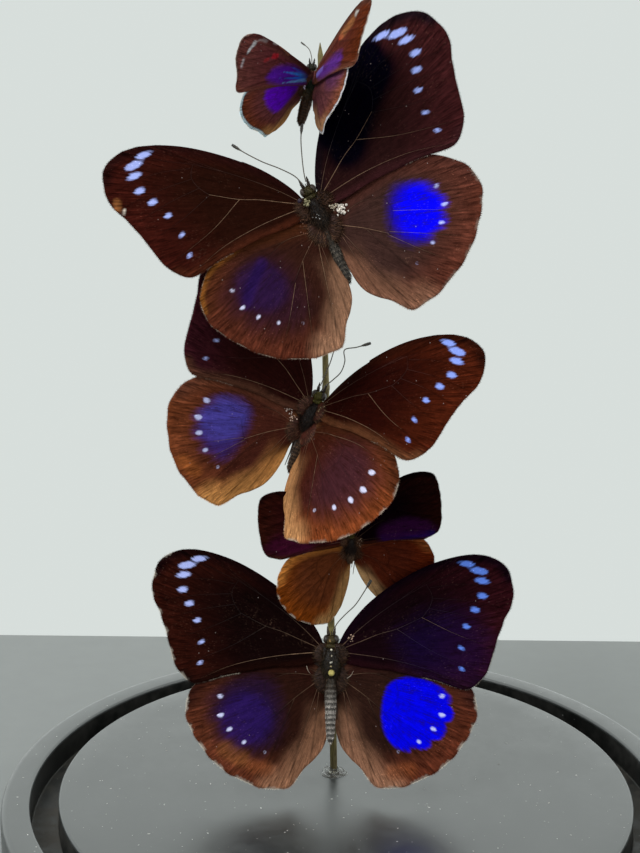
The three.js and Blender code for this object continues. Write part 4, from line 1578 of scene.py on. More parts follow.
def build_veins(name, material):
    """The veins of one butterfly's four wings."""
    bug = BUTTERFLIES[name]
    settings = bpy.context.scene.butterfly_wings
    radius = settings.vein_radius * bug["scale"] * bug["kind"]["size"] ** 0.6
    points, edges, thick, tints, count = [], [], [], [], 0
    light = np.array(settings.vein_light)
    chance = np.random.default_rng(SEED + 1)
    for seed, (wing, side) in enumerate(WINGS):
        plan = plan_of(bug["kind"], wing)
        paint = WING_PAINT[f"{name}_{wing}_{side}"]
        pale = paint.get("pale_veins", ())
        for number, vein in enumerate(plan.veins):
            steps = max(4, int(plan.length(vein) / (1.6 * bug["kind"]["spacing"])))
            path = curve_through(vein[::2], steps)
            lift = wing_lift(plan, path, vein_distance(plan, path), wing_seed(name, seed))
            _, f = plan.shares(path)
            points.append(wing_to_part(bug, wing, side, path, lift))
            edges += [(count + i, count + i + 1) for i in range(len(path) - 1)]
            thick.append(radius * (1 - 0.55 * np.clip(f, 0, 1)))
            # each vein takes the colour round it, the patch's painted sheen included
            near = paint_whole(paint, plan, path)
            worn = chance.uniform(0.5, 1, len(path))
            beyond = near * 1.7 + 0.006 if wing == "forewing" else near * 0.7
            dark = blend(near * 1.8, beyond, smooth(0.05, 0.35, f))
            bright = 0.66 - 0.42 * f if number in pale else 0.28 * (1 - smooth(0.08, 0.5, f))
            share = worn * bright
            if bug["kind"] is SMALL_VIOLET:
                dark, share = near * 0.9, 0.1 * worn
            tints.append(blend(dark, light, share))
            count += len(path)
    piece = new_piece(
        f"{name}_veins", np.concatenate(points), [], [], edges=edges,
        colours={"tint": np.concatenate(tints)}, values={"thick": np.concatenate(thick)})
    grow(piece, tree_of("Tubes on edges"), sides=5, material=material)
    return settle(piece, "large_wing" if bug["kind"] is LARGE else "violet_wing")


def build_fringe(name, material):
    """The fringe of fine scales round one butterfly's wings."""
    bug = BUTTERFLIES[name]
    settings = bpy.context.scene.butterfly_wings
    size = bug["kind"]["size"]
    pale, chance = np.array(linear("#c9bfae")), np.random.default_rng(SEED)
    points, aims, longs, tints = [], [], [], []
    for seed, (wing, side) in enumerate(WINGS):
        plan = plan_of(bug["kind"], wing)
        rim = plan.scalloped()
        line = curve_through(rim[::2], int(plan.length(rim) / (0.17 * size**0.4)), closed=True)
        w, _ = plan.shares(line)
        ahead = np.roll(line, -1, 0) - np.roll(line, 1, 0)
        out = np.stack([-ahead[:, 1], ahead[:, 0]], 1)
        out /= np.linalg.norm(out, axis=1, keepdims=True)
        vein = vein_distance(plan, line)
        lift = wing_lift(plan, line, vein, wing_seed(name, seed))
        start = wing_to_part(bug, wing, side, line, lift)
        end = wing_to_part(bug, wing, side, line + out, lift)
        outer = smooth(0.2, 0.34, w) * (1 - smooth(0.68, 0.76, w))
        near_root = smooth(0.1, 0.3, np.linalg.norm(line, axis=1) / (20 * size))
        paint = WING_PAINT[f"{name}_{wing}_{side}"]
        ground = paint_ground(paint, plan, line)
        white = paint.get("white", 0.12)
        mid = smooth(0.8 * size, 2 * size, vein) * outer * white
        aims.append(end - start + chance.normal(0, 0.22, (len(line), 3)))
        longs.append(settings.fringe_length * size**0.6 * (0.2 + 0.8 * outer) * near_root
                     * chance.uniform(0.6, 1.15, len(line)))
        whiteness = np.clip(mid + chance.normal(0, 0.12, len(line)) * outer, 0, 1)
        tints.append(blend(ground * 1.2, pale, whiteness))
        points.append(start)
    piece = new_piece(
        f"{name}_fringe", np.concatenate(points), [], [],
        colours={"tint": np.concatenate(tints)},
        values={"aim": np.concatenate(aims), "long": np.concatenate(longs)})
    grow(piece, tree_of("Fringe spikes"), thickness=0.075 * MM * size**0.5, material=material)
    return settle(piece, "large_wing" if bug["kind"] is LARGE else "violet_wing")


def wing_seed(name, number):
    return list(BUTTERFLIES).index(name) * 4 + number


# ------------------------------------------------------------------ bodies


def body_sizes(bug):
    """A body's sizes in millimetres, at its scale."""
    kind, scale = bug["kind"], bug["scale"]
    return {
        "thorax": np.array(kind["thorax"]) * scale,
        "head": kind["head"] * scale,
        "neck": kind["neck"] * scale,
        "abdomen": np.array(kind["abdomen"]) * scale * (1, bug["belly"]),
        "under": 0.4 * kind["size"] * scale,
        "size": kind["size"] * scale,
    }


def belly_turn(bug):
    """How an abdomen is bent from the body's line."""
    return turn("Y", bug["tail"]) @ turn("X", bug["droop"])


def belly_ring(z, sizes):
    """Where a height is within its ring, and how far along the abdomen it is."""
    along = -z / sizes["abdomen"][1]
    return (along - BELLY_START) / BELLY_SPAN * BELLY_RINGS % 1, along


def abdomen_shell(sizes, slim, sides=20):
    """Overlapping rings that taper to the tip."""
    radius, long = sizes["abdomen"]
    stations = [(-0.1 * long, 0, 0)]
    steps = 84
    for i in range(steps + 1):
        along = 1 - i / steps
        z = -long * (BELLY_START + BELLY_SPAN - BELLY_SPAN * along)
        wide = radius * (0.45 + 0.55 * math.sin(math.pi * (0.12 + 0.62 * along))) * slim
        step = i / steps * BELLY_RINGS % 1
        wide *= 1 + 0.06 * step - 0.05 * (step > 0.8)
        wide *= min(1.0, 0.35 + (1 - along) * 9) * min(1.0, 0.25 + along * 8)
        stations.append((z, wide, wide * 1.06))
    stations.append((-0.98 * long - 0.05, 0, 0))
    return turned(stations, sides)


BODY_LOOKS = {
    "blue grey": {
        "thorax": "#15100e", "back": "#261c15", "lobe": "#3a281d",
        "collar": "#3f3822", "eye": "#33241b", "abdomen": "#2b2724",
        "rings": "#4a443d", "leg": "#231913", "palp": "#241a14",
    },
    "warm black": {
        "thorax": "#110c0b", "back": "#1e1410", "lobe": "#3b281c",
        "collar": "#4b4520", "eye": "#20140f", "abdomen": "#2c1e16",
        "rings": "#4c392b", "leg": "#241711", "palp": "#1f1510",
    },
    "green black": {
        "thorax": "#1a1f17", "back": "#232a1d", "lobe": "#473424",
        "collar": "#2f2f24", "eye": "#17120f", "abdomen": "#2c1a10",
        "rings": "#3c2617", "leg": "#271d15", "palp": "#1d1813",
    },
    "dusty grey": {
        "thorax": "#14100d", "back": "#211a10", "lobe": "#291c12",
        "collar": "#3b321c", "eye": "#20160f", "abdomen": "#4a4642",
        "rings": "#837e78", "leg": "#241c16", "palp": "#2a2118",
    },
}


def looks_of(bug):
    """The colours of a body's shells, legs and hair."""
    return {piece: linear(code) for piece, code in BODY_LOOKS[bug["looks"]].items()}


# Hairy pads that bridge the body and each wing: middle and half sizes in the
# large kind's wing frame.
ROOT_PADS = [
    ("forewing", (-0.3, -0.4, -0.1), (2.4, 2.6, 0.55)),
    ("hindwing", (-0.3, -1.2, -0.1), (2.5, 3.3, 0.55)),
    ("hindwing", (2.2, 1.8, -0.55), (3.4, 2.1, 0.3)),
]


def body_shells(name):
    """The shells of a body, each with its slot, its tint and its coat of hair.

    A coat is the hair's length, its share of the density, where it lies and
    its colour.
    """
    bug = BUTTERFLIES[name]
    s = body_sizes(bug)
    size, under, h, neck = s["size"], s["under"], s["head"], s["neck"]
    looks = looks_of(bug)
    tw, td, tl = s["thorax"] / 2
    shells = []
    pad_tint = linear(WING_PAINT[f"{name}_hindwing_left"]["ground"][0])
    thorax = ball((0, under, 0), (tw * 0.93, td * 0.93, tl * 0.93), 24, 18)
    shells.append((thorax, 0, looks["thorax"], (0.62, 1.3, (0, -0.5, -0.9), looks["back"])))
    collar = ball((0, under - 0.1 * size, neck - 1.35 * size),
                  (1.5 * size, 1.3 * size, 0.75 * size), 18, 10)
    shells.append((collar, 0, looks["collar"], (0.42, 1.6, (0, -0.8, 0.6), looks["collar"])))
    for side in (-1, 1):
        lobe = ball((side * 1.5 * size, under - 1.0 * size, 2.3 * size),
                    (0.62 * size, 0.5 * size, 1.7 * size), 12, 10)
        lobe_coat = (0.8, 1.3, (side * 0.8, -0.4, -0.6), looks["lobe"])
        shells.append((lobe, 0, looks["thorax"], lobe_coat))
        for wing, middle, reach in ROOT_PADS:
            pad, pad_faces = ball(middle, reach, 18, 12)
            pad = pad * size / bug["scale"]
            placed = wing_to_body(bug, wing, "left" if side < 0 else "right", pad[:, :2], pad[:, 2])
            pad_faces = pad_faces if side > 0 else [face[::-1] for face in pad_faces]
            lie = (side * 1.2, -0.25, 0.1 if wing == "forewing" else -0.7)
            coat = (1.1, 1.0, lie, looks["lobe"])
            if reach[2] < 0.5:  # the flat pad has a thin coat in the wing's own colour
                coat = (0.6, 0.5, lie, pad_tint)
            shells.append(((placed, pad_faces), 0, pad_tint, coat))
        eye = ball((side * 0.74 * h, under, neck + 0.2 * h), (0.5 * h, 0.64 * h, 0.68 * h), 18, 12)
        shells.append((eye, 1, looks["eye"], None))
        palp_path = [(side * 0.4 * h, under + 0.1 * h, neck + 0.75 * h),
                     (side * 0.5 * h, under - 0.02 * h, neck + 1.35 * h),
                     (side * 0.62 * h, under - 0.1 * h, neck + 2.15 * h)]
        palp_radii = np.array([0.26, 0.25, 0.22, 0.19, 0.15, 0.1, 0.04]) * h
        palp = tube(curve_through(palp_path, 7), palp_radii, 8)
        shells.append((palp, 0, looks["palp"], (0.2, 0.8, (0, -0.2, 1), looks["palp"])))
    head = ball((0, under, neck), (0.8 * h, 0.86 * h, 0.78 * h), 18, 12)
    shells.append((head, 0, looks["collar"], (0.34, 1.6, (0, -0.6, 0.5), looks["collar"])))
    turns = np.linspace(0, 4.2 * np.pi, 46)
    spread = (0.5 - 0.4 * turns / turns[-1]) * h
    coil = np.stack([0.04 * h * turns / turns[-1], under + 0.75 * h + spread * np.sin(turns),
                     neck + 0.85 * h + spread * np.cos(turns)], 1)
    shells.append((tube(coil, 0.07 * h, 6), 0, linear("#2e1d12"), None))
    points, faces = abdomen_shell(s, 0.88 * bug["plump"])
    belly = (points @ belly_turn(bug).T + (0, under, 0), faces)
    shells.append((belly, 2, looks["abdomen"], (0.42, 0.8, (0, -0.12, -1), looks["rings"])))
    return shells



# Clumps of pale grains on the bodies, in a body's own frame: middle, spread,
# count, radius and colour.
CLUMPS = {
    "upper_butterfly": [
        ((5.0, -2.1, -1.4), 0.62, 44, 0.34, "#dcd3c9"),
        ((3.7, -2.7, -0.4), 0.5, 14, 0.28, "#bcae9a"), ((6.6, -1.2, 0.2), 0.5, 7, 0.16, "#c9bfb4"),
        ((-1.3, -2.7, 3.1), 0.42, 16, 0.34, "#97906f"),
        ((-2.6, -2.1, 4.1), 0.05, 1, 0.52, "#2c2230"),
        ((-0.5, -2.35, -0.2), 0.45, 5, 0.12, "#dfdedc"),
        ((-5.1, -1.9, -2.9), 0.6, 12, 0.2, "#6e4838"),
        ((-3.6, -2.2, -1.2), 0.8, 12, 0.2, "#553626"),
    ],
    "middle_butterfly": [
        ((-9.4, -3.2, 0.3), 0.2, 5, 0.22, "#e3cfc8"), ((-5.5, -2.6, 0.6), 0.7, 16, 0.2, "#cbb0a4"),
        ((-4.5, -2.6, -0.6), 0.5, 12, 0.2, "#d9c8bf"),
        ((-3.4, -2.3, -1.8), 0.5, 10, 0.2, "#b99d8c"),
        ((-6.4, -2.0, -3.6), 0.4, 7, 0.18, "#dccbc4"), ((4.1, -0.9, 0.0), 0.5, 9, 0.17, "#cbb5a2"),
        ((2.4, -1.9, 2.7), 0.5, 10, 0.18, "#9c8a68"), ((3.0, -1.6, 5.2), 0.3, 5, 0.15, "#b9a68c"),
    ],
    "lowest_butterfly": [
        ((-0.2, -4.4, 5.5), 0.16, 4, 0.22, "#8a7048"), ((0.1, -3.7, 3.2), 0.1, 3, 0.3, "#cfc8b4"),
        ((0.2, -3.2, 1.9), 0.1, 3, 0.26, "#a89f8e"), ((0.15, -2.8, 0.4), 0.12, 4, 0.26, "#d6d2c2"),
        ((0.1, -2.6, -0.6), 0.1, 3, 0.24, "#b4a27a"),
        ((0.2, -2.1, -2.2), 0.03, 1, 0.78, "#b5a863"), ((5.0, -3.9, 6.2), 0.5, 9, 0.2, "#c3a28e"),
    ],
    "top_butterfly": [((-1.6, -0.9, -1.0), 0.3, 8, 0.16, "#c7b9d0")],
    "small_dark_butterfly": [((1.6, -0.9, 1.6), 0.8, 9, 0.13, "#a88a76")],
}
# single pale hairs that stand off a body
LOOSE_HAIRS = {
    "lowest_butterfly": [
        [(3.9, -2.0, -3.4), (4.8, -2.3, -2.7), (5.4, -2.2, -1.6)],
        [(-5.7, -2.0, -0.6), (-5.4, -2.3, -1.6), (-4.8, -2.3, -2.4)],
    ],
}


def build_body(name, materials):
    """The shell of one body, with its legs."""
    bug = BUTTERFLIES[name]
    looks, scale = looks_of(bug), bug["scale"]
    shells = Shells()
    for (points, faces), slot, tint, _ in body_shells(name):
        tints = np.broadcast_to(tint, (len(points), 3))
        if slot == 2:
            s = body_sizes(bug)
            back = (points - (0, s["under"], 0)) @ belly_turn(bug)
            ring, along = belly_ring(back[:, 2], s)
            tints = blend(tints * 0.55, looks["rings"], smooth(0.3, 0.6, ring))
            near = 1 - smooth(0.2, 0.5, along)
            tints = blend(tints, looks["back"], 0.9 * near)
        shells.add(body_to_part(bug, points), faces, 1 if slot == 1 else 0, tints)
    legs = [[side, leg] for leg in LEGS[bug["kind"]["size"]] for side in (-1, 1)]
    if bug["kind"] is SMALL_DARK:
        legs = [[1, leg] for leg in LEGS[0.55] + GRIPPING_LEGS]
    for side, leg in legs:
        path = curve_through(np.array(leg) * (side, 1, 1) * scale, 14)
        width = bug["kind"]["size"] ** 0.7 * scale * np.interp(
            np.arange(14), [0, 4, 5, 9, 13], [0.3, 0.24, 0.19, 0.16, 0.09])
        points, faces = tube(path, width, 6)
        shells.add(body_to_part(bug, points), faces, 0, looks["leg"])
    chance = np.random.default_rng(SEED + 3)
    for middle, spread, count, radius, code in CLUMPS[name]:
        for _ in range(count):
            at = np.array(middle) + chance.normal(0, spread, 3) * (1, 0.35, 1)
            grain = radius * chance.uniform(0.45, 1.0, 3) if count > 1 else np.full(3, radius)
            points, faces = ball(at, grain, 10, 6)
            level = chance.uniform(0.6, 1.1) if count > 1 else 1.0
            shells.add(body_to_part(bug, points), faces, 0, np.array(linear(code)) * level)
    for path in LOOSE_HAIRS.get(name, ()):
        points, faces = tube(curve_through(path, 10), np.linspace(0.09, 0.03, 10), 5)
        shells.add(body_to_part(bug, points), faces, 0, linear("#8a7f72"))
    piece = shells.piece(f"{name}_body_shell", materials)
    return settle(piece, "body", f"{name}_body")


def build_coat(name, material):
    """The hair of one body, combed back over its shells."""
    bug = BUTTERFLIES[name]
    settings = bpy.context.scene.butterfly_bodies
    size = bug["kind"]["size"]
    looks = looks_of(bug)
    shells, aims, longs, shares = Shells(), [], [], []
    for (points, faces), slot, _, coat in body_shells(name):
        if coat is None:
            continue
        length_share, share, lie, tint = coat
        placed = body_to_part(bug, points)
        middle = points.mean(0)
        away = points - middle
        away[:, 2] *= 0.4
        away /= np.maximum(np.linalg.norm(away, axis=1, keepdims=True), 1e-6)
        aim = np.asarray(lie, float) + 0.6 * away
        aims.append(aim @ body_pose(bug).T)
        ends = np.abs(points[:, 2] - middle[2]) / max(np.ptp(points[:, 2]) / 2, 1e-6)
        longest = settings.hair_length * length_share * bug["hair"] * size**0.7
        longs.append(longest * (1.1 - 0.35 * ends))
        shares.append(np.full(len(points), share))
        hue = np.broadcast_to(tint, (len(points), 3))
        if slot == 2:
            ring, along = belly_ring(points[:, 2], body_sizes(bug))
            hue = hue * (0.5 + 0.8 * smooth(0.3, 0.7, ring))[:, None]
            near = 1 - smooth(0.25, 0.5, along)
            hue = blend(hue, looks["lobe"], near)
            longs[-1] = longs[-1] * (1 + 1.2 * near)
        shells.add(placed, faces, 0, hue)
    values = {"aim": aims, "long": longs, "thick": shares}
    piece = shells.piece(f"{name}_hair", [material], {
        key: np.concatenate(data) for key, data in values.items()})
    grow(piece, tree_of("Combed hair"), density=settings.hair_density * 1e6 / size,
         thickness=0.045 * MM * size**0.4, tousle=0.42, seed=SEED, material=material)
    return settle(piece, "body")


def build_antennae(name, material):
    """Ringed threads that end in clubs."""
    bug = BUTTERFLIES[name]
    size = bug["kind"]["size"]
    for side, path in bug["antennae"].items():
        line = curve_through(np.array(path, float), 90)
        run = np.linspace(0, WingPlan.length(line), 90)
        from_end = run[-1] - run
        club = 2.6 * size
        radius = 0.13 * size**0.5 + (0.36 * size - 0.13 * size**0.5) * (
            smooth(club, club * 0.45, from_end) * smooth(-0.35 * club, club * 0.25, from_end))
        ripple = np.sin(run * 2 * np.pi / (0.55 * size**0.5))
        points, faces = tube(line, radius * (1 + 0.14 * ripple), 8)
        band = smooth(0.2, 0.9, ripple) * smooth(0, club, from_end)
        tints = np.repeat(blend(np.array(linear("#17120f")), linear("#8c7f6c"), 0.6 * band), 8, 0)
        shells = Shells()
        shells.add(body_to_part(bug, points), faces, 0, tints)
        piece = shells.piece(f"{name}_feeler_{side}", [material])
        settle(piece, "body", f"{name}_antenna_{side}")


def eye_material():
    material, make, shader = new_material("compound eye", 0.4, Specular_IOR_Level=0.25)
    where = object_coordinates(make)
    cells = make.add("ShaderNodeTexVoronoi", {"Vector": where, "Scale": 9000.0})
    grain = grain_over(make, where, 1500.0)
    hue = make.hue("tint")
    make.put(shader["Base Color"], make.mix(make.ramp(grain, 0.35, 0.7), hue, (0.01, 0.008, 0.006)))
    make.put(shader["Normal"], bump(make, cells.outputs["Distance"], 0.4, 0.00004))
    return material


# ------------------------------------------------------- stem, glue, base


def stem_axis(height):
    """The middle of the stem at a height over the base's top, in the part's frame."""
    lean = math.radians(STEM["lean"])
    x, y = STEM["foot"]
    height = np.asarray(height, float)
    return np.stack([x + height * math.sin(lean), np.full(height.shape, y),
                     BASE["thickness"] + height * math.cos(lean)], -1)


def build_stem(material):
    settings = bpy.context.scene.butterfly_stem
    knot = settings.knot_height / MM
    sides, steps = 22, 420
    chance = np.random.default_rng(SEED + 4)
    heights = np.linspace(-STEM["sunk"], STEM["height"], steps)
    share = np.clip(heights / STEM["height"], 0, 1)
    radius = STEM["foot_radius"] + (STEM["top_radius"] - STEM["foot_radius"]) * share
    for at in STEM["joints"]:
        radius = radius + knot * np.exp(-((heights - at) / 0.8) ** 2)
    radius = radius * np.clip((STEM["height"] - heights) / 3 + 0.12, 0.12, 1)
    angle = angles_of(sides)
    waves, spans = 0, ((0.01, 0.03), (-0.3, 0.3), (0, 6.3))  # height, twist and start
    for count in (2, 3, 5, 7, 9, 11):
        high, twist, start = (chance.uniform(*span) for span in spans)
        waves = waves + high * np.sin(count * angle[None] + heights[:, None] * twist + start)
    centre = stem_axis(heights)
    centre[:, 0] += 0.14 * np.sin(heights / 21) * np.sin(np.pi * share)
    lean = turn("Y", STEM["lean"])
    across = np.stack([np.cos(angle), np.sin(angle), np.zeros(sides)], 1) @ lean.T
    rings = centre[:, None] + (radius[:, None] * (1 + waves))[..., None] * across[None]
    points = rings.reshape(-1, 3)
    foot = np.array(linear("#2a2016"))
    bark, pale = np.array(settings.bark), np.array(settings.pale_bark)
    tints = blend(foot, bark, smooth(2, 12, heights))
    tints = blend(tints, pale, 0.25 + 0.25 * np.sin(heights / 17))
    shells = Shells()
    shells.add(points, closed_faces(steps, sides), 0, np.repeat(tints, sides, 0))
    fibres = chance.uniform(6, STEM["height"] - 8, STEM["fibres"])
    for height in fibres:
        turn_at = chance.uniform(0, 2 * np.pi)
        out = np.array([math.cos(turn_at), math.sin(turn_at), 0])
        long = chance.uniform(1.2, 3.4)
        here = np.interp(height, heights, radius)
        base = stem_axis(height) + out * here * 0.96
        path = [base, base + out * 0.06 + (0, 0, long * 0.5),
                base + out * chance.uniform(0.1, 0.5) + (chance.normal(0, 0.1), 0, long)]
        shells.add(*tube(curve_through(path, 5), [0.07, 0.06, 0.05, 0.04, 0.02], 4), 0, pale)
    return settle(shells.piece("stem_bark", [material]), "stem", "stem")


def stem_material():
    material, make, shader = new_material("dry stem", 0.62, Specular_IOR_Level=0.35)
    where = object_coordinates(make)
    stretched = make.add("ShaderNodeMapping", {"Vector": where, "Scale": (1.0, 1.0, 0.06)})
    fibre = make.noise(stretched.outputs[0], 2600.0, 4.0, 0.6)
    grain = grain_over(make, where, 260.0)
    tint = make.hue("tint")
    shade = make.mix(make.ramp(fibre, 0.35, 0.68), tint, (0.06, 0.04, 0.018))
    shade = make.mix(make.ramp(grain, 0.52, 0.68, 0.0, 0.55), shade, (0.34, 0.3, 0.14))
    specks = specks_over(make, where, 1100.0, 0.24, 0.08)
    make.put(shader["Base Color"], make.mix(make.times(specks, 0.7), shade, (0.02, 0.014, 0.01)))
    make.put(shader["Normal"], bump(make, make.plus(fibre, grain), 0.5, 0.00015))
    return material


def build_glue(material):
    """A clear drop that crept out round the stem's foot in soft rings."""
    chance = np.random.default_rng(SEED + 9)
    sides, rings = 72, 26
    angle = angles_of(sides)
    foot = stem_axis(0.0)
    phases = chance.uniform(0, 6.3, 4)
    points, faces = [], []
    for i in range(rings):
        t = i / (rings - 1)
        r = GLUE["inner"] + (GLUE["radius"] - GLUE["inner"]) * t
        reach = 1 + 0.07 * t * (np.sin(3 * angle + phases[0]) + 0.6 * np.sin(5 * angle + phases[1]))
        high = GLUE["height"] * (1 - t) ** 1.5 * (1 + 0.12 * np.sin(2 * angle + phases[2]))
        high = high + 0.2 * math.sin(math.pi * min(1, 4 * (1 - t))) * np.ones(sides)
        ripple = np.sin(t * 17 + 1.5 * np.sin(angle + phases[3]))
        high = high + 0.13 * ripple * math.sin(math.pi * t)
        z = BASE["thickness"] + np.maximum(high, 0.02 + 0.3 * math.sqrt(max(0, 1 - t)))
        points.append(np.stack([foot[0] + r * reach * np.cos(angle),
                                foot[1] + r * reach * np.sin(angle), z], 1))
    under = points[-1].copy()
    under[:, 2] = BASE["thickness"]
    inner = points[0].copy()
    inner[:, 2] = BASE["thickness"]
    points += [under, inner]
    count = len(points)
    for i in range(count):
        k = (i + 1) % count
        for j in range(sides):
            m = (j + 1) % sides
            faces.append([i * sides + j, k * sides + j, k * sides + m, i * sides + m])
    shells = Shells()
    shells.add(np.concatenate(points), faces)
    return settle(shells.piece("glue_drop", [material]), "glue", "glue_blob")


def glue_material():
    material, make, shader = new_material("clear glue", 0.06, IOR=1.48, Transmission_Weight=0.85)
    where = object_coordinates(make)
    haze = grain_over(make, where, 300.0)
    shade = make.mix(make.ramp(haze, 0.4, 0.7), (0.9, 0.88, 0.8), (0.6, 0.57, 0.48))
    make.put(shader["Base Color"], shade)
    make.put(shader["Roughness"], make.ramp(haze, 0.45, 0.75, 0.04, 0.22))
    return material


def rounded(corner, before, after, radius, count=5):
    """Points of a small arc that cuts a corner of a profile."""
    corner = np.asarray(corner, float)
    back, ahead = np.asarray(before) - corner, np.asarray(after) - corner
    a = corner + back / np.linalg.norm(back) * radius
    b = corner + ahead / np.linalg.norm(ahead) * radius
    t = np.linspace(0, 1, count)[:, None]
    return ((1 - t) ** 2 * a + 2 * t * (1 - t) * corner + t**2 * b).tolist()


def build_base(material):
    """The turned base with its dome groove."""
    b = BASE
    floor = b["thickness"] - b["groove_depth"]
    top = b["thickness"]
    corners = [
        ((0, 0), 0), ((b["radius"], 0), b["foot_chamfer"]), ((b["radius"], top), b["rim_round"]),
        ((b["groove_outer"], top), b["lip_round"]), ((b["groove_outer"], floor), b["floor_round"]),
        ((b["groove_inner"], floor), b["floor_round"]), ((b["groove_inner"], top), b["lip_round"]),
        ((0, top), 0),
    ]
    profile = []
    for i, (corner, radius) in enumerate(corners):
        if radius:
            profile += rounded(corner, corners[i - 1][0], corners[i + 1][0], radius)
        else:
            profile.append(list(corner))
    fine = []
    for p, q in zip(profile, profile[1:]):
        dx, dy = q[0] - p[0], q[1] - p[1]
        pieces = max(1, int(np.hypot(dx, dy) / 6))
        fine += [[p[0] + dx * k / pieces, p[1] + dy * k / pieces] for k in range(pieces)]
    fine.append(profile[-1])
    sides = 288
    angle = angles_of(sides)
    points = [np.array([[0, 0, 0]])]
    for r, z in fine[1:-1]:
        points.append(np.stack([r * np.cos(angle), r * np.sin(angle), np.full(sides, z)], 1))
    points.append(np.array([[0, 0, b["thickness"]]]))
    count = len(fine) - 2
    faces = []
    for j in range(sides):
        k = (j + 1) % sides
        faces.append([0, 1 + k, 1 + j])
        faces += [[low + j, low + k, low + sides + k, low + sides + j]
                  for low in range(1, 1 + (count - 1) * sides, sides)]
        last = 1 + (count - 1) * sides
        faces.append([last + j, last + k, 1 + count * sides])
    shells = Shells()
    shells.add(np.concatenate(points), faces)
    piece = shells.piece("lacquered_base", [material])
    piece.data.set_sharp_from_angle(angle=math.radians(40))
    return settle(piece, "base", "dome_base")


def base_material():
    settings = bpy.context.scene.butterfly_base
    material, make, shader = new_material("black lacquer", 0.3, IOR=1.6)
    where = object_coordinates(make)
    grain = grain_over(make, where, 90.0)
    fine = grain_over(make, where, 1600.0)
    place = make.add("ShaderNodeSeparateXYZ", {0: where}).outputs
    flat = make.add("ShaderNodeCombineXYZ", {0: place[0], 1: place[1]}).outputs[0]
    reach = make.add("ShaderNodeVectorMath", {0: flat}, operation="LENGTH").outputs["Value"]
    in_groove = make.times(make.math("GREATER_THAN", reach, (BASE["groove_inner"] - 0.1) * MM),
                           make.math("LESS_THAN", reach, (BASE["groove_outer"] + 0.1) * MM))
    low = make.math("LESS_THAN", place[2], (BASE["thickness"] - 0.9) * MM)
    in_groove = make.times(in_groove, low)
    lying = make.ramp(place[2], (BASE["thickness"] - BASE["groove_depth"] + 0.3) * MM,
                      (BASE["thickness"] - BASE["groove_depth"]) * MM, 0.25, 1.0)
    dust = make.times(make.times(in_groove, lying), make.ramp(grain, 0.35, 0.65, 0.05, 0.5))
    film = make.ramp(grain, 0.4, 0.75, 0.0, 0.035)
    specks = specks_over(make, where, 420.0, 0.12, 0.22)
    # inside the groove the lacquer is painted darker, at a third of its colour, and made to reflect
    # less: painted shade in the recess
    bare = make.mix(in_groove, tuple(settings.lacquer), tuple(c * 0.3 for c in settings.lacquer))
    make.put(shader["Specular IOR Level"], make.math("SUBTRACT", 0.5, make.times(in_groove, 0.4)))
    shade = make.mix(film, bare, (0.45, 0.46, 0.45))
    shade = make.mix(make.times(dust, 0.75), shade, tuple(settings.groove_dust))
    shade = make.mix(make.times(specks, 0.6), shade, (0.5, 0.5, 0.48))
    make.put(shader["Base Color"], shade)
    rough = make.plus(make.ramp(grain, 0.3, 0.7, 0.3, 0.42), make.times(dust, 0.6))
    make.put(shader["Roughness"], make.plus(rough, make.times(specks, 0.3)))
    make.put(shader["Normal"], bump(make, make.plus(make.times(grain, 1.0), fine), 0.05, 0.0002))
    return material


def build_dust(material):
    """Specks of dust that lie on the base's top."""
    settings = bpy.context.scene.butterfly_base
    b = BASE
    sides = 64
    angle = angles_of(sides)
    circle = np.stack([np.cos(angle), np.sin(angle)], 1)
    points = [(0, 0, b["thickness"])]
    points += [(x, y, b["thickness"]) for x, y in circle * (b["groove_inner"] - 1)]
    faces = [[0, 1 + j, 1 + (j + 1) % sides] for j in range(sides)]
    shells = Shells()
    shells.add(points, faces)
    edges = np.concatenate([circle * (b["groove_outer"] + 1), circle * (b["radius"] - 2)])
    ring = [(x, y, b["thickness"]) for x, y in edges]
    shells.add(ring, [[j, sides + j, sides + (j + 1) % sides, (j + 1) % sides]
                      for j in range(sides)])
    area = math.pi * (b["groove_inner"] ** 2 + b["radius"] ** 2 - b["groove_outer"] ** 2) * MM**2
    count = sum(len(p) for p in shells.points)
    piece = shells.piece("base_dust", [material], values={"thick": np.ones(count)})
    grow(piece, tree_of("Scattered specks"), density=settings.speck_count / area,
         size=settings.speck_size, seed=SEED + 2, material=material)
    return settle(piece, "base")


def speck_material():
    material, make, shader = new_material("dust", 0.9, Specular_IOR_Level=0.1)
    where = object_coordinates(make)
    grain = grain_over(make, where, 300.0)
    shade = make.mix(make.ramp(grain, 0.4, 0.6), (0.36, 0.34, 0.3), (0.74, 0.73, 0.7))
    make.put(shader["Base Color"], shade)
    return material


# ------------------------------------------------------------------- stage


def build_table():
    hue = tuple(bpy.context.scene.butterfly_stage.table)
    material, make, shader = new_material("table", 0.55, Specular_IOR_Level=0.2)
    grain = grain_over(make, object_coordinates(make), 30.0)
    shade = make.mix(make.ramp(grain, 0.3, 0.7), hue, tuple(c * 1.06 for c in hue))
    make.put(shader["Base Color"], shade)
    near, back, wide, top = TABLE["near"], TABLE["back"], TABLE["half_width"], TABLE["top"]
    corners = [(-wide, near, top), (wide, near, top), (wide, back, top), (-wide, back, top)]
    new_piece("table", corners, [[0, 1, 2, 3]], [material])


def build_background():
    world = bpy.data.worlds.new("studio")
    world.use_nodes = True
    bpy.context.scene.world = world
    make = Nodes(world.node_tree)
    path = make.add("ShaderNodeLightPath").outputs
    strength = make.plus(GLOW["light"], make.times(path["Is Camera Ray"], GLOW["seen"]))
    strength = make.plus(strength, make.times(path["Is Glossy Ray"], GLOW["mirrored"]))
    hue = (*bpy.context.scene.butterfly_stage.wall, 1.0)
    glow = make.add("ShaderNodeBackground", {"Color": hue, "Strength": strength})
    out = make.add("ShaderNodeOutputWorld")
    make.tree.links.new(glow.outputs[0], out.inputs[0])


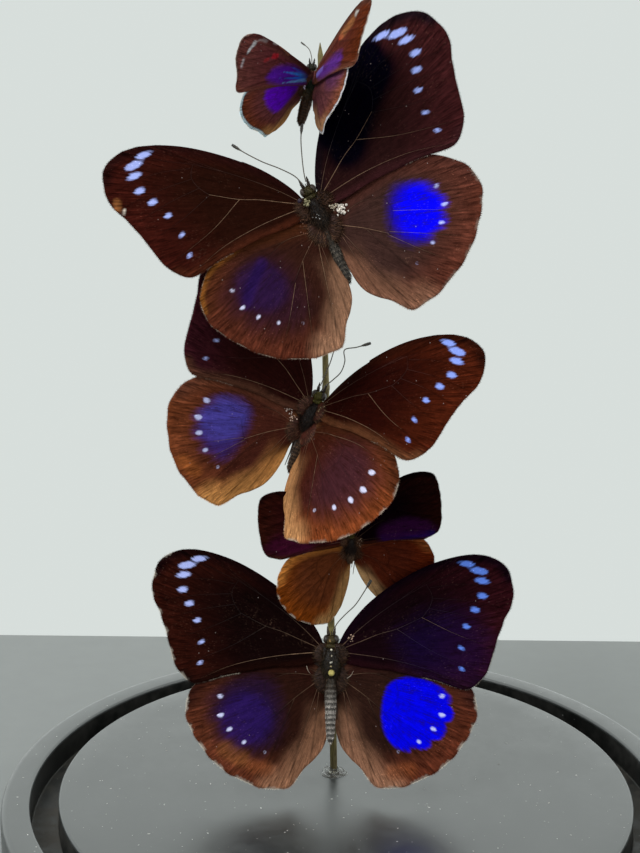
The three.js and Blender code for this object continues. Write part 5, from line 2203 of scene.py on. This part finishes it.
def build_lamps():
    settings = bpy.context.scene.butterfly_stage
    for name, power in (("key", settings.key_power), ("fill", settings.fill_power)):
        lamp = bpy.data.lights.new(name, "AREA")
        lamp.energy, lamp.size = power, LAMPS[name]["size"]
        light = bpy.data.objects.new(name, lamp)
        place = Vector(LAMPS[name]["place"])
        light.location = place
        light.rotation_euler = (Vector(LAMPS_AIM) - place).to_track_quat("-Z", "Y").to_euler()
        bpy.context.scene.collection.objects.link(light)


def build_camera():
    lens = bpy.data.cameras.new("camera")
    lens.lens, lens.sensor_width, lens.sensor_fit = CAMERA["lens"], 36.0, "AUTO"
    lens.clip_start, lens.clip_end = 0.01, 10.0
    camera = bpy.data.objects.new("camera", lens)
    camera.matrix_world = (
        Matrix.Translation(CAMERA["place"])
        @ Matrix.Rotation(math.radians(90 - CAMERA["down"]), 4, "X")
        @ Matrix.Rotation(math.radians(CAMERA["roll"]), 4, "Z"))
    scene = bpy.context.scene
    scene.collection.objects.link(camera)
    scene.camera = camera
    scene.view_settings.view_transform = "Standard"


# --------------------------------------------------------------- operators


class StageOperator(bpy.types.Operator):
    """Make the table, the background, the lights and the camera"""

    bl_idname = "butterflies.stage"
    bl_label = "Stage"

    def execute(self, context):
        build_table()
        build_background()
        build_lamps()
        build_camera()
        return {"FINISHED"}


class BaseOperator(bpy.types.Operator):
    """Turn the lacquered base and lay its dust"""

    bl_idname = "butterflies.base"
    bl_label = "Base and dust"

    def execute(self, context):
        build_base(material_of("black lacquer", base_material))
        build_dust(material_of("dust", speck_material))
        return {"FINISHED"}


class StemOperator(bpy.types.Operator):
    """Make the dry stem and the glue round its foot"""

    bl_idname = "butterflies.stem"
    bl_label = "Stem and glue"

    def execute(self, context):
        build_stem(material_of("dry stem", stem_material))
        build_glue(material_of("clear glue", glue_material))
        return {"FINISHED"}


class WingsOperator(bpy.types.Operator):
    """Lay the scaled membranes of the twenty wings"""

    bl_idname = "butterflies.wings"
    bl_label = "Wings"

    def execute(self, context):
        materials = [material_of("wing scales", wing_upper_material),
                     material_of("wing underside", wing_under_material)]
        for name in BUTTERFLIES:
            for number, (wing, side) in enumerate(WINGS):
                build_wing(name, wing, side, wing_seed(name, number), materials)
        return {"FINISHED"}


class VeinsOperator(bpy.types.Operator):
    """Draw the veins through the wings and set the fringe round them"""

    bl_idname = "butterflies.veins"
    bl_label = "Veins and fringe"

    def execute(self, context):
        veins = tinted("wing vein", 0.6, 0.3, Specular_IOR_Level=0.04)
        fringe = tinted("fringe", 0.8, 0.2, Specular_IOR_Level=0.02)
        for name in BUTTERFLIES:
            build_veins(name, veins)
            build_fringe(name, fringe)
        return {"FINISHED"}


class BodiesOperator(bpy.types.Operator):
    """Make the bodies with their eyes, legs, antennae and hair"""

    bl_idname = "butterflies.bodies"
    bl_label = "Bodies"

    def execute(self, context):
        shell = tinted("body shell", 0.5, 0.45, Specular_IOR_Level=0.15)
        hair = tinted("hair", 0.6, 0.35, 500.0, Specular_IOR_Level=0.08)
        feeler = tinted("antenna", 0.5, 0.2)
        eye = material_of("compound eye", eye_material)
        for name in BUTTERFLIES:
            build_body(name, [shell, eye])
            build_coat(name, hair)
            build_antennae(name, feeler)
        return {"FINISHED"}


PIECES = (BaseOperator, StemOperator, WingsOperator, VeinsOperator, BodiesOperator, StageOperator)
SETTINGS = {
    "butterfly_base": BaseSettings,
    "butterfly_stem": StemSettings,
    "butterfly_wings": WingSettings,
    "butterfly_bodies": BodySettings,
    "butterfly_stage": StageSettings,
}


class ButterflyPanel(bpy.types.Panel):
    """Sizes, colours and pieces of the mounted butterflies"""

    bl_idname = "VIEW3D_PT_mounted_butterflies"
    bl_label = "Mounted butterflies"
    bl_space_type = "VIEW_3D"
    bl_region_type = "UI"
    bl_category = "Butterflies"

    def draw(self, context):
        for key, group in SETTINGS.items():
            box = self.layout.box()
            settings = getattr(context.scene, key)
            for setting in group.__annotations__:
                box.prop(settings, setting)
        for piece in PIECES:
            self.layout.operator(piece.bl_idname)


CLASSES = (*SETTINGS.values(), *PIECES, ButterflyPanel)


def register():
    for item in CLASSES:
        bpy.utils.register_class(item)
    for key, group in SETTINGS.items():
        setattr(bpy.types.Scene, key, PointerProperty(type=group))


def unregister():
    for key in SETTINGS:
        delattr(bpy.types.Scene, key)
    for item in reversed(CLASSES):
        bpy.utils.unregister_class(item)


def main():
    register()
    for piece in PIECES:
        group, call = piece.bl_idname.split(".")
        getattr(getattr(bpy.ops, group), call)()
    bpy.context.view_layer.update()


if __name__ == "__main__":
    main()
